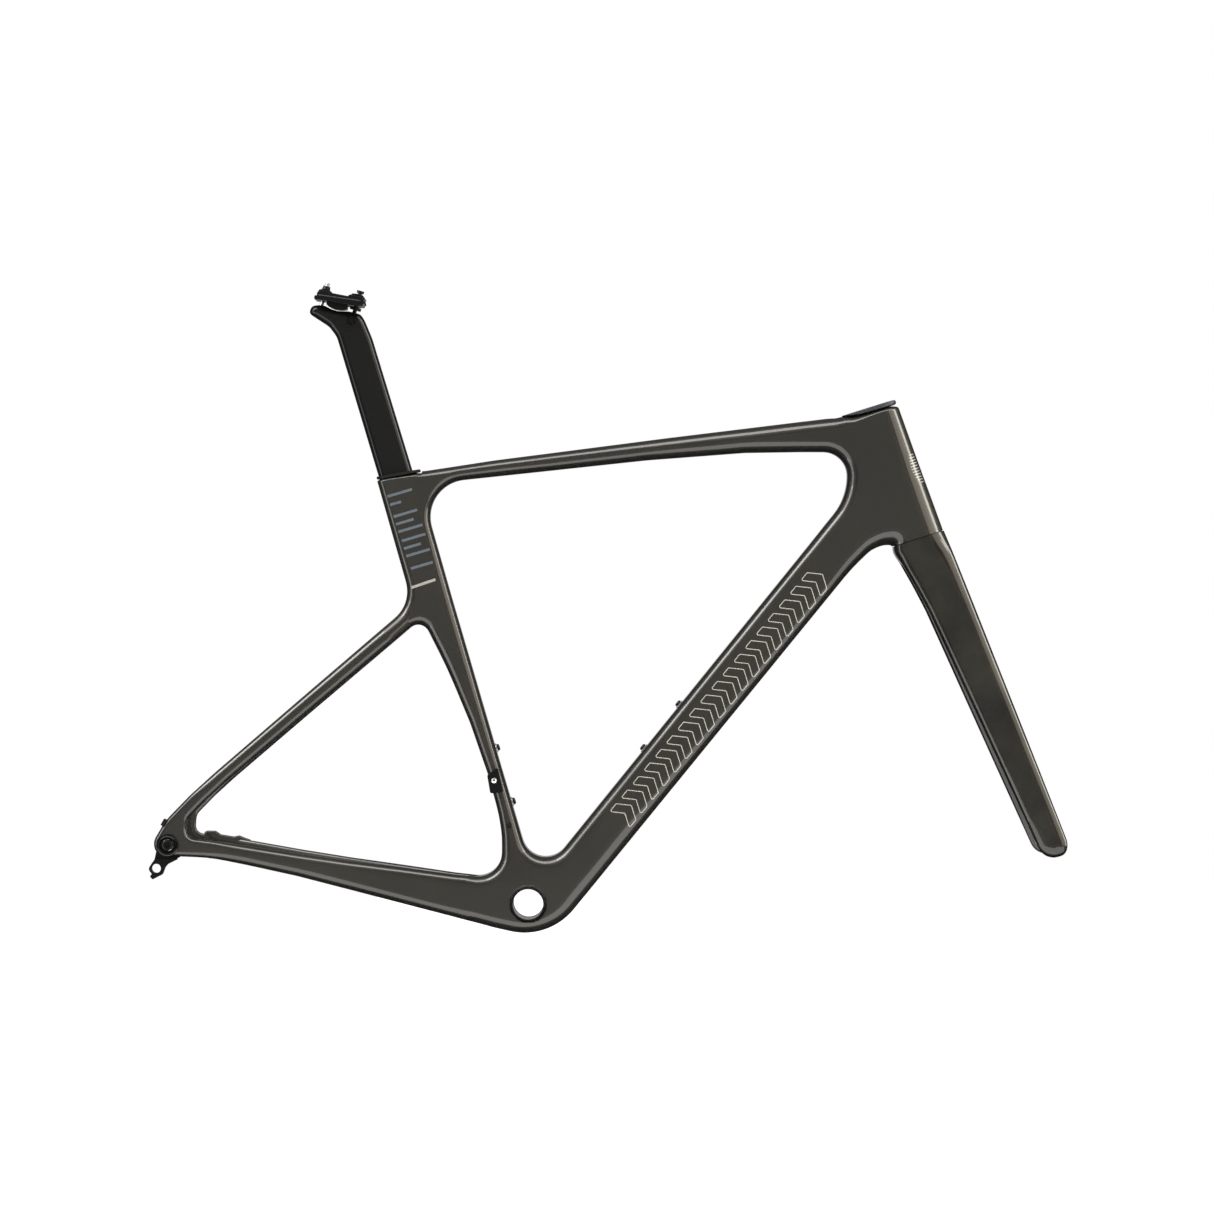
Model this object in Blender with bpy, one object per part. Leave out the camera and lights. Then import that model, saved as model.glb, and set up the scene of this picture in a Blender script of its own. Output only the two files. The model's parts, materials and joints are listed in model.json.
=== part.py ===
"""Carbon road frameset: frame, fork, seatpost and axles, as separate pieces.

Axes: +X to the front, +Y to the rider's left, +Z up. The origin is the centre of the bottom bracket.
Lengths are in millimetres until a mesh is made, which is in metres.
"""

import math

import bmesh
import bpy
from mathutils import Vector

MM = 0.001
GAP = 0.3

# Datums in the side plane, (x, z).
HEAD_ANGLE = 72.0
SEAT_ANGLE = 73.4
STEER_FOOT = (444.6, 415.1)
SEAT_TOP = (-151.8, 491.7)
REAR_AXLE = (-404.9, 68.9)
FRONT_AXLE = (589.0, 69.5)

# Standards.
BB_WIDTH = 68.0
BB_BORE_R = 17.2
REAR_HUB_WIDTH = 142.0
FRONT_HUB_WIDTH = 100.0
AXLE_R = 6.0
STEERER_R = 14.3
LOWER_BEARING_R = 23.5
UPPER_BEARING_R = 20.5
BOTTLE_SPACING = 64.0
RAIL_R = 3.5
RAIL_ROOM = 0.55
RAIL_SPACING = 44.0

# Head tube, fork and seatpost.
HEAD_LENGTH = 152.7
HEAD_REAR = 30.0
POST_CHORD = 39.3
POST_HALF_WIDTH = 12.5
POST_INSERTION = 100.0
POST_EXPOSED = 164.0

# Front triangle's cut line between the top tube and the down tube, and the stays' cut line.
WEB_Z = 480.0
STAY_CUT_X = -57.5

# Headset bearings' ends along the steering axis.
LOWER_RACES = (1.7, 8.6)
UPPER_RACES = (HEAD_LENGTH - 7.9, HEAD_LENGTH - 1.4)

# Faces at the hubs, from the middle.
REAR_FACE = REAR_HUB_WIDTH / 2
DROPOUT_OUT = REAR_FACE + 9.0
FORK_FACE = FRONT_HUB_WIDTH / 2
HANGER_HOLE = (-417.5, 42.8)

# Seat wedge, along the post's axis and ahead of it.
WEDGE_ALONG = -32.0
WEDGE_BACK = POST_CHORD / 2 + 1.2

# Saddle clamp.
CLAMP_CENTRE = (-214.5, 686.5)
CLAMP_SLOPE = -8.3
CLAMP_BOLT_LEAN = 16.9
TILT_RADIUS = 26.0
TILT_RISE = 14.0
ROCKER_REAR = -14.0
ROCKER_FRONT = 10.0
JAW_LENGTH = 56.0
JAW_HALF_WIDTH = 27.0
CROSS_NUT = (-201.3, 662.0)

ACROSS = (0, 1, 0)
BODIES = {}
MATERIALS = {}


# ---------------------------------------------------------------- scene, materials, bodies

def clear_scene():
    for obj in list(bpy.data.objects):
        bpy.data.objects.remove(obj, do_unlink=True)


def make_material(name, colour, roughness, metallic):
    material = bpy.data.materials.new(name)
    material.use_nodes = True
    shader = material.node_tree.nodes["Principled BSDF"]
    shader.inputs["Base Color"].default_value = (*colour, 1.0)
    shader.inputs["Roughness"].default_value = roughness
    shader.inputs["Metallic"].default_value = metallic
    MATERIALS[name] = material


def make_materials():
    make_material("painted_carbon", (0.030, 0.029, 0.025), 0.25, 0.3)
    make_material("black_carbon", (0.009, 0.009, 0.010), 0.30, 0.0)
    make_material("black_alloy", (0.010, 0.010, 0.011), 0.40, 0.6)
    make_material("silver_alloy", (0.60, 0.60, 0.61), 0.30, 1.0)
    make_material("steel", (0.45, 0.45, 0.47), 0.25, 1.0)
    make_material("rubber_black", (0.012, 0.012, 0.013), 0.70, 0.0)


def make_body(name, pivot, parent=None):
    """An empty on the body's joint axis. pivot is a world point (x, y, z)."""
    empty = bpy.data.objects.new("body_" + name, None)
    empty.empty_display_size = 0.02
    bpy.context.scene.collection.objects.link(empty)
    offset = Vector(pivot)
    if parent:
        empty.parent = BODIES[parent][0]
        offset = offset - BODIES[parent][1]
    empty.location = offset * MM
    BODIES[name] = (empty, Vector(pivot))


def add(name, mesh, material, body):
    """Make the object of a mesh given in world millimetres, on a body and with its origin at the body's pivot."""
    empty, pivot = BODIES[body]
    for vertex in mesh.verts:
        vertex.co = (vertex.co - pivot) * MM
    bmesh.ops.recalc_face_normals(mesh, faces=mesh.faces)
    data = bpy.data.meshes.new(name)
    mesh.to_mesh(data)
    mesh.free()
    data.shade_smooth()
    data.set_sharp_from_angle(angle=math.radians(35.0))
    obj = bpy.data.objects.new(name, data)
    bpy.context.scene.collection.objects.link(obj)
    obj.parent = empty
    if material:
        data.materials.append(MATERIALS[material])
    return obj


def boolean(obj, mesh, body, operation="DIFFERENCE"):
    """Cut a helper mesh from an object, or join it to the object. Returns the helper."""
    helper = add(f"helper_{obj.name}_{len(obj.modifiers)}", mesh, None, body)
    helper.hide_render = True
    helper.display_type = "WIRE"
    modifier = obj.modifiers.new(operation.lower(), "BOOLEAN")
    modifier.operation = operation
    modifier.solver = "EXACT"
    modifier.object = helper
    return helper


# ---------------------------------------------------------------- frames of reference

def polar(angle):
    return Vector((math.cos(math.radians(angle)), math.sin(math.radians(angle))))


STEER_UP = polar(180.0 - HEAD_ANGLE)
STEER_AHEAD = polar(90.0 - HEAD_ANGLE)
SEAT_UP = polar(180.0 - SEAT_ANGLE)
SEAT_AHEAD = polar(90.0 - SEAT_ANGLE)
JAW_AHEAD = polar(CLAMP_SLOPE)
JAW_UP = polar(90.0 + CLAMP_SLOPE)
BOLT_UP = polar(90.0 - CLAMP_BOLT_LEAN)

SEAT_TUBE_BOLTS = [(-36.9, 176.4), (-18.9, 115.3)]
DOWN_TUBE_ALONG = Vector((0.6284, 0.7779))
DOWN_TUBE_NORMAL = Vector((-0.7779, 0.6284))
DOWN_TUBE_BOLTS = [Vector((48.5, 72.3)) + DOWN_TUBE_ALONG * t for t in (133.0, 133.0 + BOTTLE_SPACING)]


def steer(along, ahead):
    """(x, z) of a point given along and ahead of the steering axis."""
    return Vector(STEER_FOOT) + STEER_UP * along + STEER_AHEAD * ahead


def seat(along, ahead):
    """(x, z) of a point given along and ahead of the seatpost's axis."""
    return Vector(SEAT_TOP) + SEAT_UP * along + SEAT_AHEAD * ahead


def jaw(along, up):
    """(x, z) of a point given along and above the saddle clamp's centre."""
    return Vector(CLAMP_CENTRE) + JAW_AHEAD * along + JAW_UP * up


def space(point, y=0.0):
    return Vector((point[0], y, point[1]))


# ---------------------------------------------------------------- solids

def section(low, high, half_width, y=0.0, power=3.0, low_power=None, sides=16):
    """Ring of a tube: a superellipse whose ends are the side plane's points low and high."""
    low, high = Vector(low), Vector(high)
    middle, half = (low + high) / 2, (high - low) / 2
    ring = []
    for k in range(sides):
        c, s = math.cos(math.tau * k / sides), math.sin(math.tau * k / sides)
        p = power if c > 0 or low_power is None else low_power
        u = math.copysign(abs(c) ** (2 / p), c) if abs(c) > 1e-9 else 0.0
        v = math.copysign(abs(s) ** (2 / p), s) if abs(s) > 1e-9 else 0.0
        ring.append(space(middle + half * u, y + half_width * v))
    return ring


def thinner(station, wall):
    """The section inside another, one wall thickness in."""
    low, high, half_width, *rest = station
    low, high = Vector(low), Vector(high)
    inward = (high - low).normalized() * wall
    return (low + inward, high - inward, half_width - wall, *rest)


def skin(mesh, rings):
    """Quads between consecutive rings of vertices."""
    for first, second in zip(rings, rings[1:]):
        count = len(first)
        for k in range(count):
            n = (k + 1) % count
            mesh.faces.new((first[k], first[n], second[n], second[k]))


def loft(stations, sides=16):
    """Solid through sections, with flat ends."""
    mesh = bmesh.new()
    rings = [[mesh.verts.new(p) for p in section(*s, sides=sides)] for s in stations]
    skin(mesh, rings)
    mesh.faces.new(rings[0])
    mesh.faces.new(rings[-1])
    return mesh


def shell(stations, wall, sides=16):
    """Tube through sections, open at both ends."""
    mesh = bmesh.new()
    inner = [thinner(s, wall) for s in stations]
    outside = [[mesh.verts.new(p) for p in section(*s, sides=sides)] for s in stations]
    inside = [[mesh.verts.new(p) for p in section(*s, sides=sides)] for s in inner]
    skin(mesh, outside)
    skin(mesh, inside)
    skin(mesh, [outside[0], inside[0]])
    skin(mesh, [outside[-1], inside[-1]])
    return mesh


def rounded(corners, steps=4):
    """Outline from corners (x, z) or (x, z, radius), each rounded corner as an arc."""
    outline = []
    for k, corner in enumerate(corners):
        here = Vector(corner[:2])
        if len(corner) == 2:
            outline.append(here)
            continue
        before = (Vector(corners[k - 1][:2]) - here).normalized()
        after = (Vector(corners[(k + 1) % len(corners)][:2]) - here).normalized()
        half = before.angle(after) / 2
        middle = here + (before + after).normalized() * corner[2] / math.sin(half)
        start = here + before * corner[2] / math.tan(half) - middle
        turn = math.pi - 2 * half
        if start.cross(before) > 0:
            turn = -turn
        for step in range(steps + 1):
            a = turn * step / steps
            outline.append(middle + Vector((start.x * math.cos(a) - start.y * math.sin(a),
                                            start.x * math.sin(a) + start.y * math.cos(a))))
    return outline


def plate(outline, y_low, y_high, bevel=0.0):
    """Prism of an outline in the side plane, from y_low to y_high, with its two rims bevelled."""
    mesh = bmesh.new()
    right = mesh.faces.new([mesh.verts.new(space(p, y_low)) for p in outline])
    left = mesh.faces.new([mesh.verts.new(space(p, y_high)) for p in outline])
    skin(mesh, [list(right.verts), list(left.verts)])
    if bevel:
        rims = [e for face in (right, left) for e in face.edges]
        bmesh.ops.bevel(mesh, geom=rims, offset=bevel, segments=1, affect="EDGES", clamp_overlap=True)
    return mesh


def turned(profile, foot, axis, steps=24, closed=False):
    """Solid of revolution of (radius, along) points. A closed profile makes a ring."""
    foot, axis = Vector(foot), Vector(axis).normalized()
    side = axis.orthogonal().normalized()
    up = axis.cross(side)
    mesh = bmesh.new()
    rings = []
    for radius, along in profile:
        centre = foot + axis * along
        if radius == 0:
            rings.append([mesh.verts.new(centre)])
            continue
        angles = [math.tau * k / steps for k in range(steps)]
        rings.append([mesh.verts.new(centre + (side * math.cos(a) + up * math.sin(a)) * radius) for a in angles])
    for first, second in zip(rings, rings[1:] + rings[:1] if closed else rings[1:]):
        for k in range(steps):
            n = (k + 1) % steps
            if len(first) == 1:
                mesh.faces.new((first[0], second[n], second[k]))
            elif len(second) == 1:
                mesh.faces.new((first[k], first[n], second[0]))
            else:
                mesh.faces.new((first[k], first[n], second[n], second[k]))
    return mesh


def rod(radius, low, high, foot, axis, steps=24):
    return turned([(0, low), (radius, low), (radius, high), (0, high)], foot, axis, steps)


def ring(inner, outer, low, high, foot, axis, steps=24):
    profile = [(inner, low), (outer, low), (outer, high), (inner, high)]
    return turned(profile, foot, axis, steps, closed=True)


def beaded_ring(radius, ball_r, balls, foot, axis):
    """Balls and their cage as one ring: its tube swells to a ball's size at each ball."""
    foot, axis = Vector(foot), Vector(axis).normalized()
    side = axis.orthogonal().normalized()
    up = axis.cross(side)
    mesh = bmesh.new()
    rings = []
    steps, sides = 4, 5
    for k in range(balls * steps):
        a = math.tau * k / (balls * steps)
        from_ball = (k % steps) / steps
        distance = min(from_ball, 1 - from_ball) * math.tau * radius / balls
        tube = math.sqrt(max(ball_r ** 2 - distance ** 2, (0.45 * ball_r) ** 2))
        out = side * math.cos(a) + up * math.sin(a)
        angles = [math.tau * j / sides for j in range(sides)]
        rings.append([mesh.verts.new(foot + out * (radius + tube * math.cos(b)) + axis * tube * math.sin(b))
                      for b in angles])
    skin(mesh, rings + rings[:1])
    return mesh


# ---------------------------------------------------------------- frame tubes

def top_tube():
    stations = [((-71.2, 481.6), (-68.7, 499.6), 16, 0, 3.4),
                ((134, 503.6), (134, 526.0), 17),
                ((300, 512.9), (298, 546.6), 18.5),
                ((331, 513.0), (331, 550.6), 20),
                ((350, 508.5), (343, 552.0), 21),
                ((359.5, 497), (351, 553.0), 22, 0, 3.4),
                ((362.3, WEB_Z + 0.2), (358, 553.6), 23, 0, 3.8),
                (steer(68.5, -HEAD_REAR - 0.2), steer(155.0, -HEAD_REAR - 0.2), 23.5, 0, 4)]
    add("top_tube", shell(stations, 1.8), "painted_carbon", "frame")


def down_tube():
    stations = [((89.3, 39.8), (48.8, 72.8), 28, 0, 3.6),
                ((184, 155.7), (141, 186.7), 26, 0, 3.2),
                ((360, 371.1), (318.4, 406.4), 24.5, 0, 3.2),
                ((368.3, 381.3), (341.2, 434.9), 24),
                ((380, 393.5), (356.7, 456.5), 24),
                ((392, 402.8), (362.2, 471.0), 24, 0, 3.4),
                ((402, 406.6), (362.4, WEB_Z - 0.2), 24, 0, 3.8),
                (steer(1.0, -HEAD_REAR - 0.2), steer(68.0, -HEAD_REAR - 0.2), 24, 0, 4)]
    tube = add("down_tube", shell(stations, 1.8), "painted_carbon", "frame")
    for bolt in DOWN_TUBE_BOLTS:
        boolean(tube, rod(4.8, -12, 3, space(bolt), space(DOWN_TUBE_NORMAL), 12), "frame")


def seat_tube():
    stations = [((-172.5, 481.5), (-122.0, 490.5), 19.5, 0, 3.4),
                ((-171.3, 477.5), (-69.3, 499.3), 19.3, 0, 3.6),
                ((-167, 462), (-71.8, 481.4), 19.2, 0, 3.6),
                ((-164, 451.5), (-92, 472.3), 19.2, 0, 3.4),
                ((-160.5, 439), (-107.3, 454.2), 19),
                ((-157, 426.5), (-110.2, 442.8), 19),
                ((-153.5, 414), (-109.5, 428), 19),
                ((-136.5, 352), (-91, 362), 18.5),
                ((-119, 316), (-81, 327.5), 19),
                ((-111.3, 304.8), (-75.7, 309.5), 19.5),
                ((-92.6, 267.3), (-66.2, 277), 20, 0, 2.8),
                ((-66.7, 205.7), (-47.3, 211.5), 21, 0, 2.6),
                ((-46.2, 146.4), (-28.9, 149), 22, 0, 2.6),
                ((-33.4, 100.8), (-15.8, 103.5), 25, 0, 2.8),
                ((-30.3, 73.8), (-6.7, 73.8), 26, 0, 3.6)]
    tube = add("seat_tube", loft(stations), "painted_carbon", "frame")
    boolean(tube, post_channel(0.6, 6, -140), "frame")
    hollow = [thinner(s, 2.2) for s in stations[7:]]
    low, high, *rest = hollow[-1]
    hollow.append((low - Vector((0, 3)), high - Vector((0, 3)), *rest))
    boolean(tube, loft(hollow), "frame")
    pocket = [seat(WEDGE_ALONG - 14, WEDGE_BACK - 1.5), seat(WEDGE_ALONG + 14, WEDGE_BACK - 1.5),
              seat(WEDGE_ALONG + 14, WEDGE_BACK + 6.2), seat(WEDGE_ALONG - 14, WEDGE_BACK + 6.2)]
    boolean(tube, plate(pocket, -10, 10), "frame")
    boolean(tube, rod(4.3, 0, 26, wedge_point(), space(SEAT_AHEAD), 16), "frame")
    for bolt in SEAT_TUBE_BOLTS:
        boolean(tube, rod(4.8, -12, 3, space(bolt), space(SEAT_AHEAD), 12), "frame")


def post_channel(clearance, top, bottom):
    """The seatpost's own section, grown by the clearance, between two heights along its axis."""
    chord, width = POST_CHORD / 2 + clearance, POST_HALF_WIDTH + clearance
    return loft([(seat(along, -chord), seat(along, chord), width, 0, 2.8) for along in (top, bottom)], 20)


def head_tube():
    rows = [(0.2, 28.7, 27), (40, 27.2, 26), (76, 25.9, 25), (115, 24.4, 24.5), (HEAD_LENGTH, 23.0, 24)]
    stations = [(steer(along, -HEAD_REAR + 0.1), steer(along, ahead), width, 0, 2.3, 5.0)
                for along, ahead, width in rows]
    tube = add("head_tube", loft(stations, 20), "painted_carbon", "frame")
    lower, upper = LOWER_BEARING_R + GAP, UPPER_BEARING_R + GAP
    top = HEAD_LENGTH
    bore = [(0, -2), (lower, -2), (lower, 8.9), (17.8, 8.9), (17.8, top - 8.2), (upper, top - 8.2),
            (upper, top + 2), (0, top + 2)]
    boolean(tube, turned(bore, space(STEER_FOOT), space(STEER_UP), 32), "frame")


def bottom_bracket_shell():
    outline = rounded([(-30.3, 73.5), (-6.7, 73.5), (8.5, 22.5, 26), (48.5, 72.4), (89.0, 39.4),
                       (23.5, -41.0, 81), (STAY_CUT_X, -22.2), (STAY_CUT_X, 31.0), (-30.5, 28.0, 22)])
    body = add("bottom_bracket_shell", plate(outline, -27, 27, 5), "painted_carbon", "frame")
    boolean(body, rod(24.0, -BB_WIDTH / 2 + GAP, BB_WIDTH / 2 - GAP, (0, 0, 0), ACROSS, 32), "frame", "UNION")
    boolean(body, rod(20.3, -BB_WIDTH, BB_WIDTH, (0, 0, 0), ACROSS, 32), "frame")
    seat_socket = [((-28, 50), (-8, 50), 18, 0, 3.2), ((-28, 76), (-9, 76), 22, 0, 3.2)]
    down_socket = [((62, 12), (30, 40), 20, 0, 3.2), ((90, 43), (54, 74), 23, 0, 3.2)]
    boolean(body, loft(seat_socket), "frame")
    boolean(body, loft(down_socket), "frame")
    chamber = rounded([(-26.8, 66.0), (-9.0, 66.0), (8.0, 14.5, 29), (49.0, 66.5), (83.5, 39.2),
                       (22.5, -35.5, 77), (-54.0, -17.5), (-54.0, 27.0), (-27.0, 24.0, 25)], 3)
    hollow = boolean(body, plate(chamber, -23.5, 23.5), "frame")
    boolean(hollow, rod(24.0, -40, 40, (0, 0, 0), ACROSS, 32), "frame")
    sleeve = ring(BB_BORE_R, 20.0, -BB_WIDTH / 2, BB_WIDTH / 2, (0, 0, 0), ACROSS, 32)
    add("bb_threaded_sleeve", sleeve, "silver_alloy", "frame")


def chainstay(name, side):
    rows = [((STAY_CUT_X - 0.3, -21.8), (STAY_CUT_X - 0.3, 30.6), 25.5, 10),
            ((-83, -15.0), (-83, 33.5), 27, 9.5),
            ((-146.5, 2.0), (-146.5, 42.5), 34, 8.8),
            ((-203.5, 17.5), (-203.5, 50.0), 44, 8.2),
            ((-260.5, 33.0), (-260.5, 58.5), 56, 7.6),
            ((-316.5, 46.0), (-316.5, 67.8), 68, 7.0),
            ((-340, 51.2), (-337, 70.2), 73, 6.0),
            ((-356.5, 54.6), (-352.5, 73.1), 75.7, 4.6)]
    stations = [(low, high, width, side * y, 2.9) for low, high, y, width in rows]
    add(name, shell(stations, 1.6, 14), "painted_carbon", "frame")


def seatstay(name, side):
    rows = [((-119.4, 316.2), (-137.0, 352.4), 8.8, 8.4),
            ((-128, 315.8), (-142, 337), 12.5, 8.2),
            ((-139, 309.5), (-151.7, 324.3), 18, 8.0),
            ((-156, 295.3), (-168, 309.7), 26, 7.8),
            ((-247, 218.5), (-258.5, 231.9), 48, 7.0),
            ((-340, 139.5), (-352, 150.6), 69.5, 6.2),
            ((-362.5, 119), (-379.5, 125.2), 75.7, 4.6)]
    stations = [(low, high, width, side * y, 2.8) for low, high, y, width in rows]
    add(name, shell(stations, 1.4, 12), "painted_carbon", "frame")


def dropout(name, y_low, y_high):
    outline = rounded([(-356.8, 54.4), (-352.8, 73.2), (-384.5, 77.0, 9), (-383.0, 98.0, 9), (-363.0, 118.6),
                       (-380.0, 124.9), (-404.5, 96.5, 30), (-420.5, 76.0, 10), (-420.5, 55.5, 12),
                       (-392.0, 55.5, 12)], 3)
    stay_end = add(name, plate(outline, y_low, y_high, 0.8), "painted_carbon", "frame")
    boolean(stay_end, rod(9.3, -90, 90, space(REAR_AXLE), (0, 1, 0), 20), "frame")


# ---------------------------------------------------------------- frame fittings

def wedge_point():
    return space(seat(WEDGE_ALONG, WEDGE_BACK))


def bottle_fastener(name, foot, normal):
    """A rivet nut in the tube's wall and the button-head bolt in it."""
    foot, normal = space(foot), space(normal)
    nut = [(2.8, 1.2), (5.4, 1.2), (5.4, 0.4), (4.4, 0.4), (4.4, -9.0), (2.8, -9.0)]
    add(name + "_rivnut", turned(nut, foot, normal, 12, closed=True), "silver_alloy", "frame")
    bolt = [(0, 1.9), (1.6, 1.9), (1.6, 4.4), (3.1, 4.2), (4.1, 2.6), (4.1, 1.5), (2.5, 1.5), (2.5, -10), (0, -10)]
    add(name + "_bolt", turned(bolt, foot, normal, 12), "black_alloy", "frame")


def bottle_fasteners():
    places = [("seat_tube_upper", SEAT_TUBE_BOLTS[0], SEAT_AHEAD),
              ("seat_tube_lower", SEAT_TUBE_BOLTS[1], SEAT_AHEAD),
              ("down_tube_lower", DOWN_TUBE_BOLTS[0], DOWN_TUBE_NORMAL),
              ("down_tube_upper", DOWN_TUBE_BOLTS[1], DOWN_TUBE_NORMAL)]
    for name, foot, normal in places:
        bottle_fastener(name + "_bottle", foot, normal)


def front_derailleur_mount():
    outline = rounded([(-46.5, 146.0, 2), (-43.0, 125.3, 2), (-27.8, 127.0, 2), (-34.5, 156.0, 2)], 2)
    mount = add("front_derailleur_mount", plate(outline, -27.2, -24.2, 0.6), "black_alloy", "frame")
    foot = (-38.6, 0, 140.1)
    boolean(mount, rod(2.6, -30, -20, foot, ACROSS, 12), "frame")
    screw = [(0, -24.4), (2.2, -24.4), (2.2, -27.5), (3.4, -27.5), (3.4, -28.9), (1.4, -28.9), (1.4, -28.0), (0, -28.0)]
    add("front_derailleur_screw", turned(screw, foot, ACROSS, 12), "silver_alloy", "frame")


def derailleur_hanger():
    outline = rounded([(-404.9, 81.5), (-395.9, 77.9), (-392.3, 68.9), (-391.0, 55.5), (-406.2, 47.0, 8),
                       (-410.4, 36.0, 4), (-422.3, 30.0, 1), (-425.2, 33.4, 1), (-422.6, 36.6),
                       (-427.3, 41.8, 5), (-420.1, 52.2, 5), (-418.0, 62.0), (-417.5, 68.9), (-413.9, 77.9)], 3)
    inner, outer = -REAR_FACE - 3.0, -REAR_FACE
    hanger = add("derailleur_hanger", plate(outline, inner, outer, 0.4), "black_alloy", "frame")
    tongue = rounded([(-392.5, 53.5), (-406.2, 46.6, 8), (-410.4, 36.0, 4), (-422.0, 31.0, 1),
                      (-422.6, 36.6), (-427.3, 41.8, 5), (-420.1, 52.2, 5), (-419.4, 53.5)], 3)
    boolean(hanger, plate(tongue, -DROPOUT_OUT + 1.5, inner + 0.5), "frame", "UNION")
    boolean(hanger, rod(6.5, -90, -60, space(REAR_AXLE), ACROSS, 20), "frame")
    boolean(hanger, rod(5.1, -90, -60, space(HANGER_HOLE), ACROSS, 20), "frame")


def rear_axle_hardware():
    foot = space(REAR_AXLE)
    out = -DROPOUT_OUT
    nut = [(6.2, -REAR_FACE - 3.3), (9.0, -REAR_FACE - 3.3), (9.0, out - GAP), (12.5, out - GAP),
           (12.5, out - 2.0), (11.0, out - 3.2), (9.0, out - 3.2), (9.0, out - 1.8), (6.2, out - 1.8)]
    add("hanger_nut", turned(nut, foot, ACROSS, 24, closed=True), "black_alloy", "frame")
    bush = ring(6.2, 9.0, REAR_FACE, DROPOUT_OUT, foot, ACROSS, 24)
    add("left_dropout_bush", bush, "silver_alloy", "frame")
    axle = [(0, out - 1.2), (3.0, out - 1.2), (3.0, out - 3.4), (4.6, out - 3.4), (AXLE_R, out - 2.6),
            (AXLE_R, DROPOUT_OUT + GAP), (9.0, DROPOUT_OUT + GAP), (9.0, DROPOUT_OUT + 3.5),
            (8.0, DROPOUT_OUT + 4.5), (3.0, DROPOUT_OUT + 4.5), (3.0, DROPOUT_OUT - 2.0), (0, DROPOUT_OUT - 2.0)]
    add("rear_thru_axle", turned(axle, foot, ACROSS, 24), "black_alloy", "rear_axle")


def rear_brake_mount():
    """Flat-mount pad on the left chainstay, over the stay's end."""
    outline = [(-366.5, 75.7), (-352.0, 74.0), (-337.0, 71.1), (-327.5, 69.8), (-328.5, 75.4), (-334.0, 76.2),
               (-361.0, 80.9), (-366.0, 81.0)]
    add("rear_brake_mount", plate(outline, 67.5, 79.0, 0.5), "black_alloy", "frame")


def seat_collar_cover():
    """Thin cap over the seat tube's top, around the post."""
    lift = SEAT_UP * GAP
    rise = SEAT_UP * 3.2
    low, high = Vector((-172.2, 481.6)), Vector((-122.4, 490.4))
    stations = [(low + lift, high + lift, 19.2, 0, 3.4), (low + rise, high + rise, 18.6, 0, 3.4)]
    cover = add("seat_collar_cover", loft(stations), "rubber_black", "frame")
    boolean(cover, post_channel(0.5, 12, -20), "frame")


def seat_wedge():
    """Clamping shoe in front of the post, the grub screw behind it and the port's plug."""
    half = 12.0
    back, front = WEDGE_BACK - 0.4, WEDGE_BACK + 3.2
    outline = [seat(WEDGE_ALONG - half, back), seat(WEDGE_ALONG + half, back),
               seat(WEDGE_ALONG + half - 1, front), seat(WEDGE_ALONG - half + 1, front)]
    add("seat_wedge", plate(outline, -8.5, 8.5, 0.5), "silver_alloy", "seat_wedge")
    foot, axis = wedge_point(), space(SEAT_AHEAD)
    screw = [(0, 3.2 + GAP), (3.0, 3.2 + GAP), (3.0, 8.2), (1.3, 8.2), (1.3, 6.0), (0, 6.0)]
    add("seat_wedge_screw", turned(screw, foot, axis, 12), "steel", "seat_wedge")
    add("seat_wedge_port_plug", rod(3.9, 10.4, 12.2, foot, axis, 16), "rubber_black", "frame")


def small_plugs():
    plug = turned([(0, -26.1), (3.2, -26.1), (2.4, -27.4), (0, -27.4)], (-21.8, 0, 89.4), ACROSS, 12)
    add("seat_tube_cable_plug", plug, "rubber_black", "frame")
    outline = [(-407.2, 98.2), (-412.6, 91.4), (-414.8, 92.6), (-409.6, 99.6)]
    add("rear_cable_grommet", plate(outline, -79.5, -74.8, 0.4), "rubber_black", "frame")


# ---------------------------------------------------------------- headset and steerer

def headset():
    foot, axis = space(STEER_FOOT), space(STEER_UP)
    low, high = LOWER_RACES
    add("lower_bearing_outer_race", ring(21.8, LOWER_BEARING_R, low, high, foot, axis), "steel", "frame")
    add("lower_bearing_inner_race", ring(16.7, 18.3, low, high, foot, axis), "steel", "fork")
    centre = foot + axis * (low + high) / 2
    add("lower_bearing_balls", beaded_ring(20.05, 1.3, 12, centre, axis), "steel", "lower_bearing")
    low, high = UPPER_RACES
    add("upper_bearing_outer_race", ring(19.0, UPPER_BEARING_R, low, high, foot, axis), "steel", "frame")
    add("upper_bearing_inner_race", ring(15.1, 16.3, low, high, foot, axis), "steel", "fork")
    centre = foot + axis * (low + high) / 2
    add("upper_bearing_balls", beaded_ring(17.65, 0.95, 12, centre, axis), "steel", "upper_bearing")
    add("crown_race", ring(16.7, 20.0, 0.1, 1.3, foot, axis), "silver_alloy", "fork")
    add("compression_ring", ring(14.7, 16.3, high + GAP, high + 1.3, foot, axis), "silver_alloy", "fork")
    top_cover()


def top_cover():
    """Wedge-shaped cover on the head tube, running back over the top tube's end."""
    rows = [((355.5, 554.6), (355.5, 555.6), 9), ((370.5, 556.9), (370.5, 560.3), 17),
            ((373.0, 552.8), (373.0, 561.2), 18), ((396.0, 560.3), (396.0, 567.9), 21),
            ((412.0, 565.5), (412.0, 572.4), 18), ((418.3, 567.6), (418.0, 572.2), 12)]
    stations = [(low, high, width, 0, 4) for low, high, width in rows]
    add("headset_top_cover", loft(stations), "black_alloy", "frame")


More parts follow.
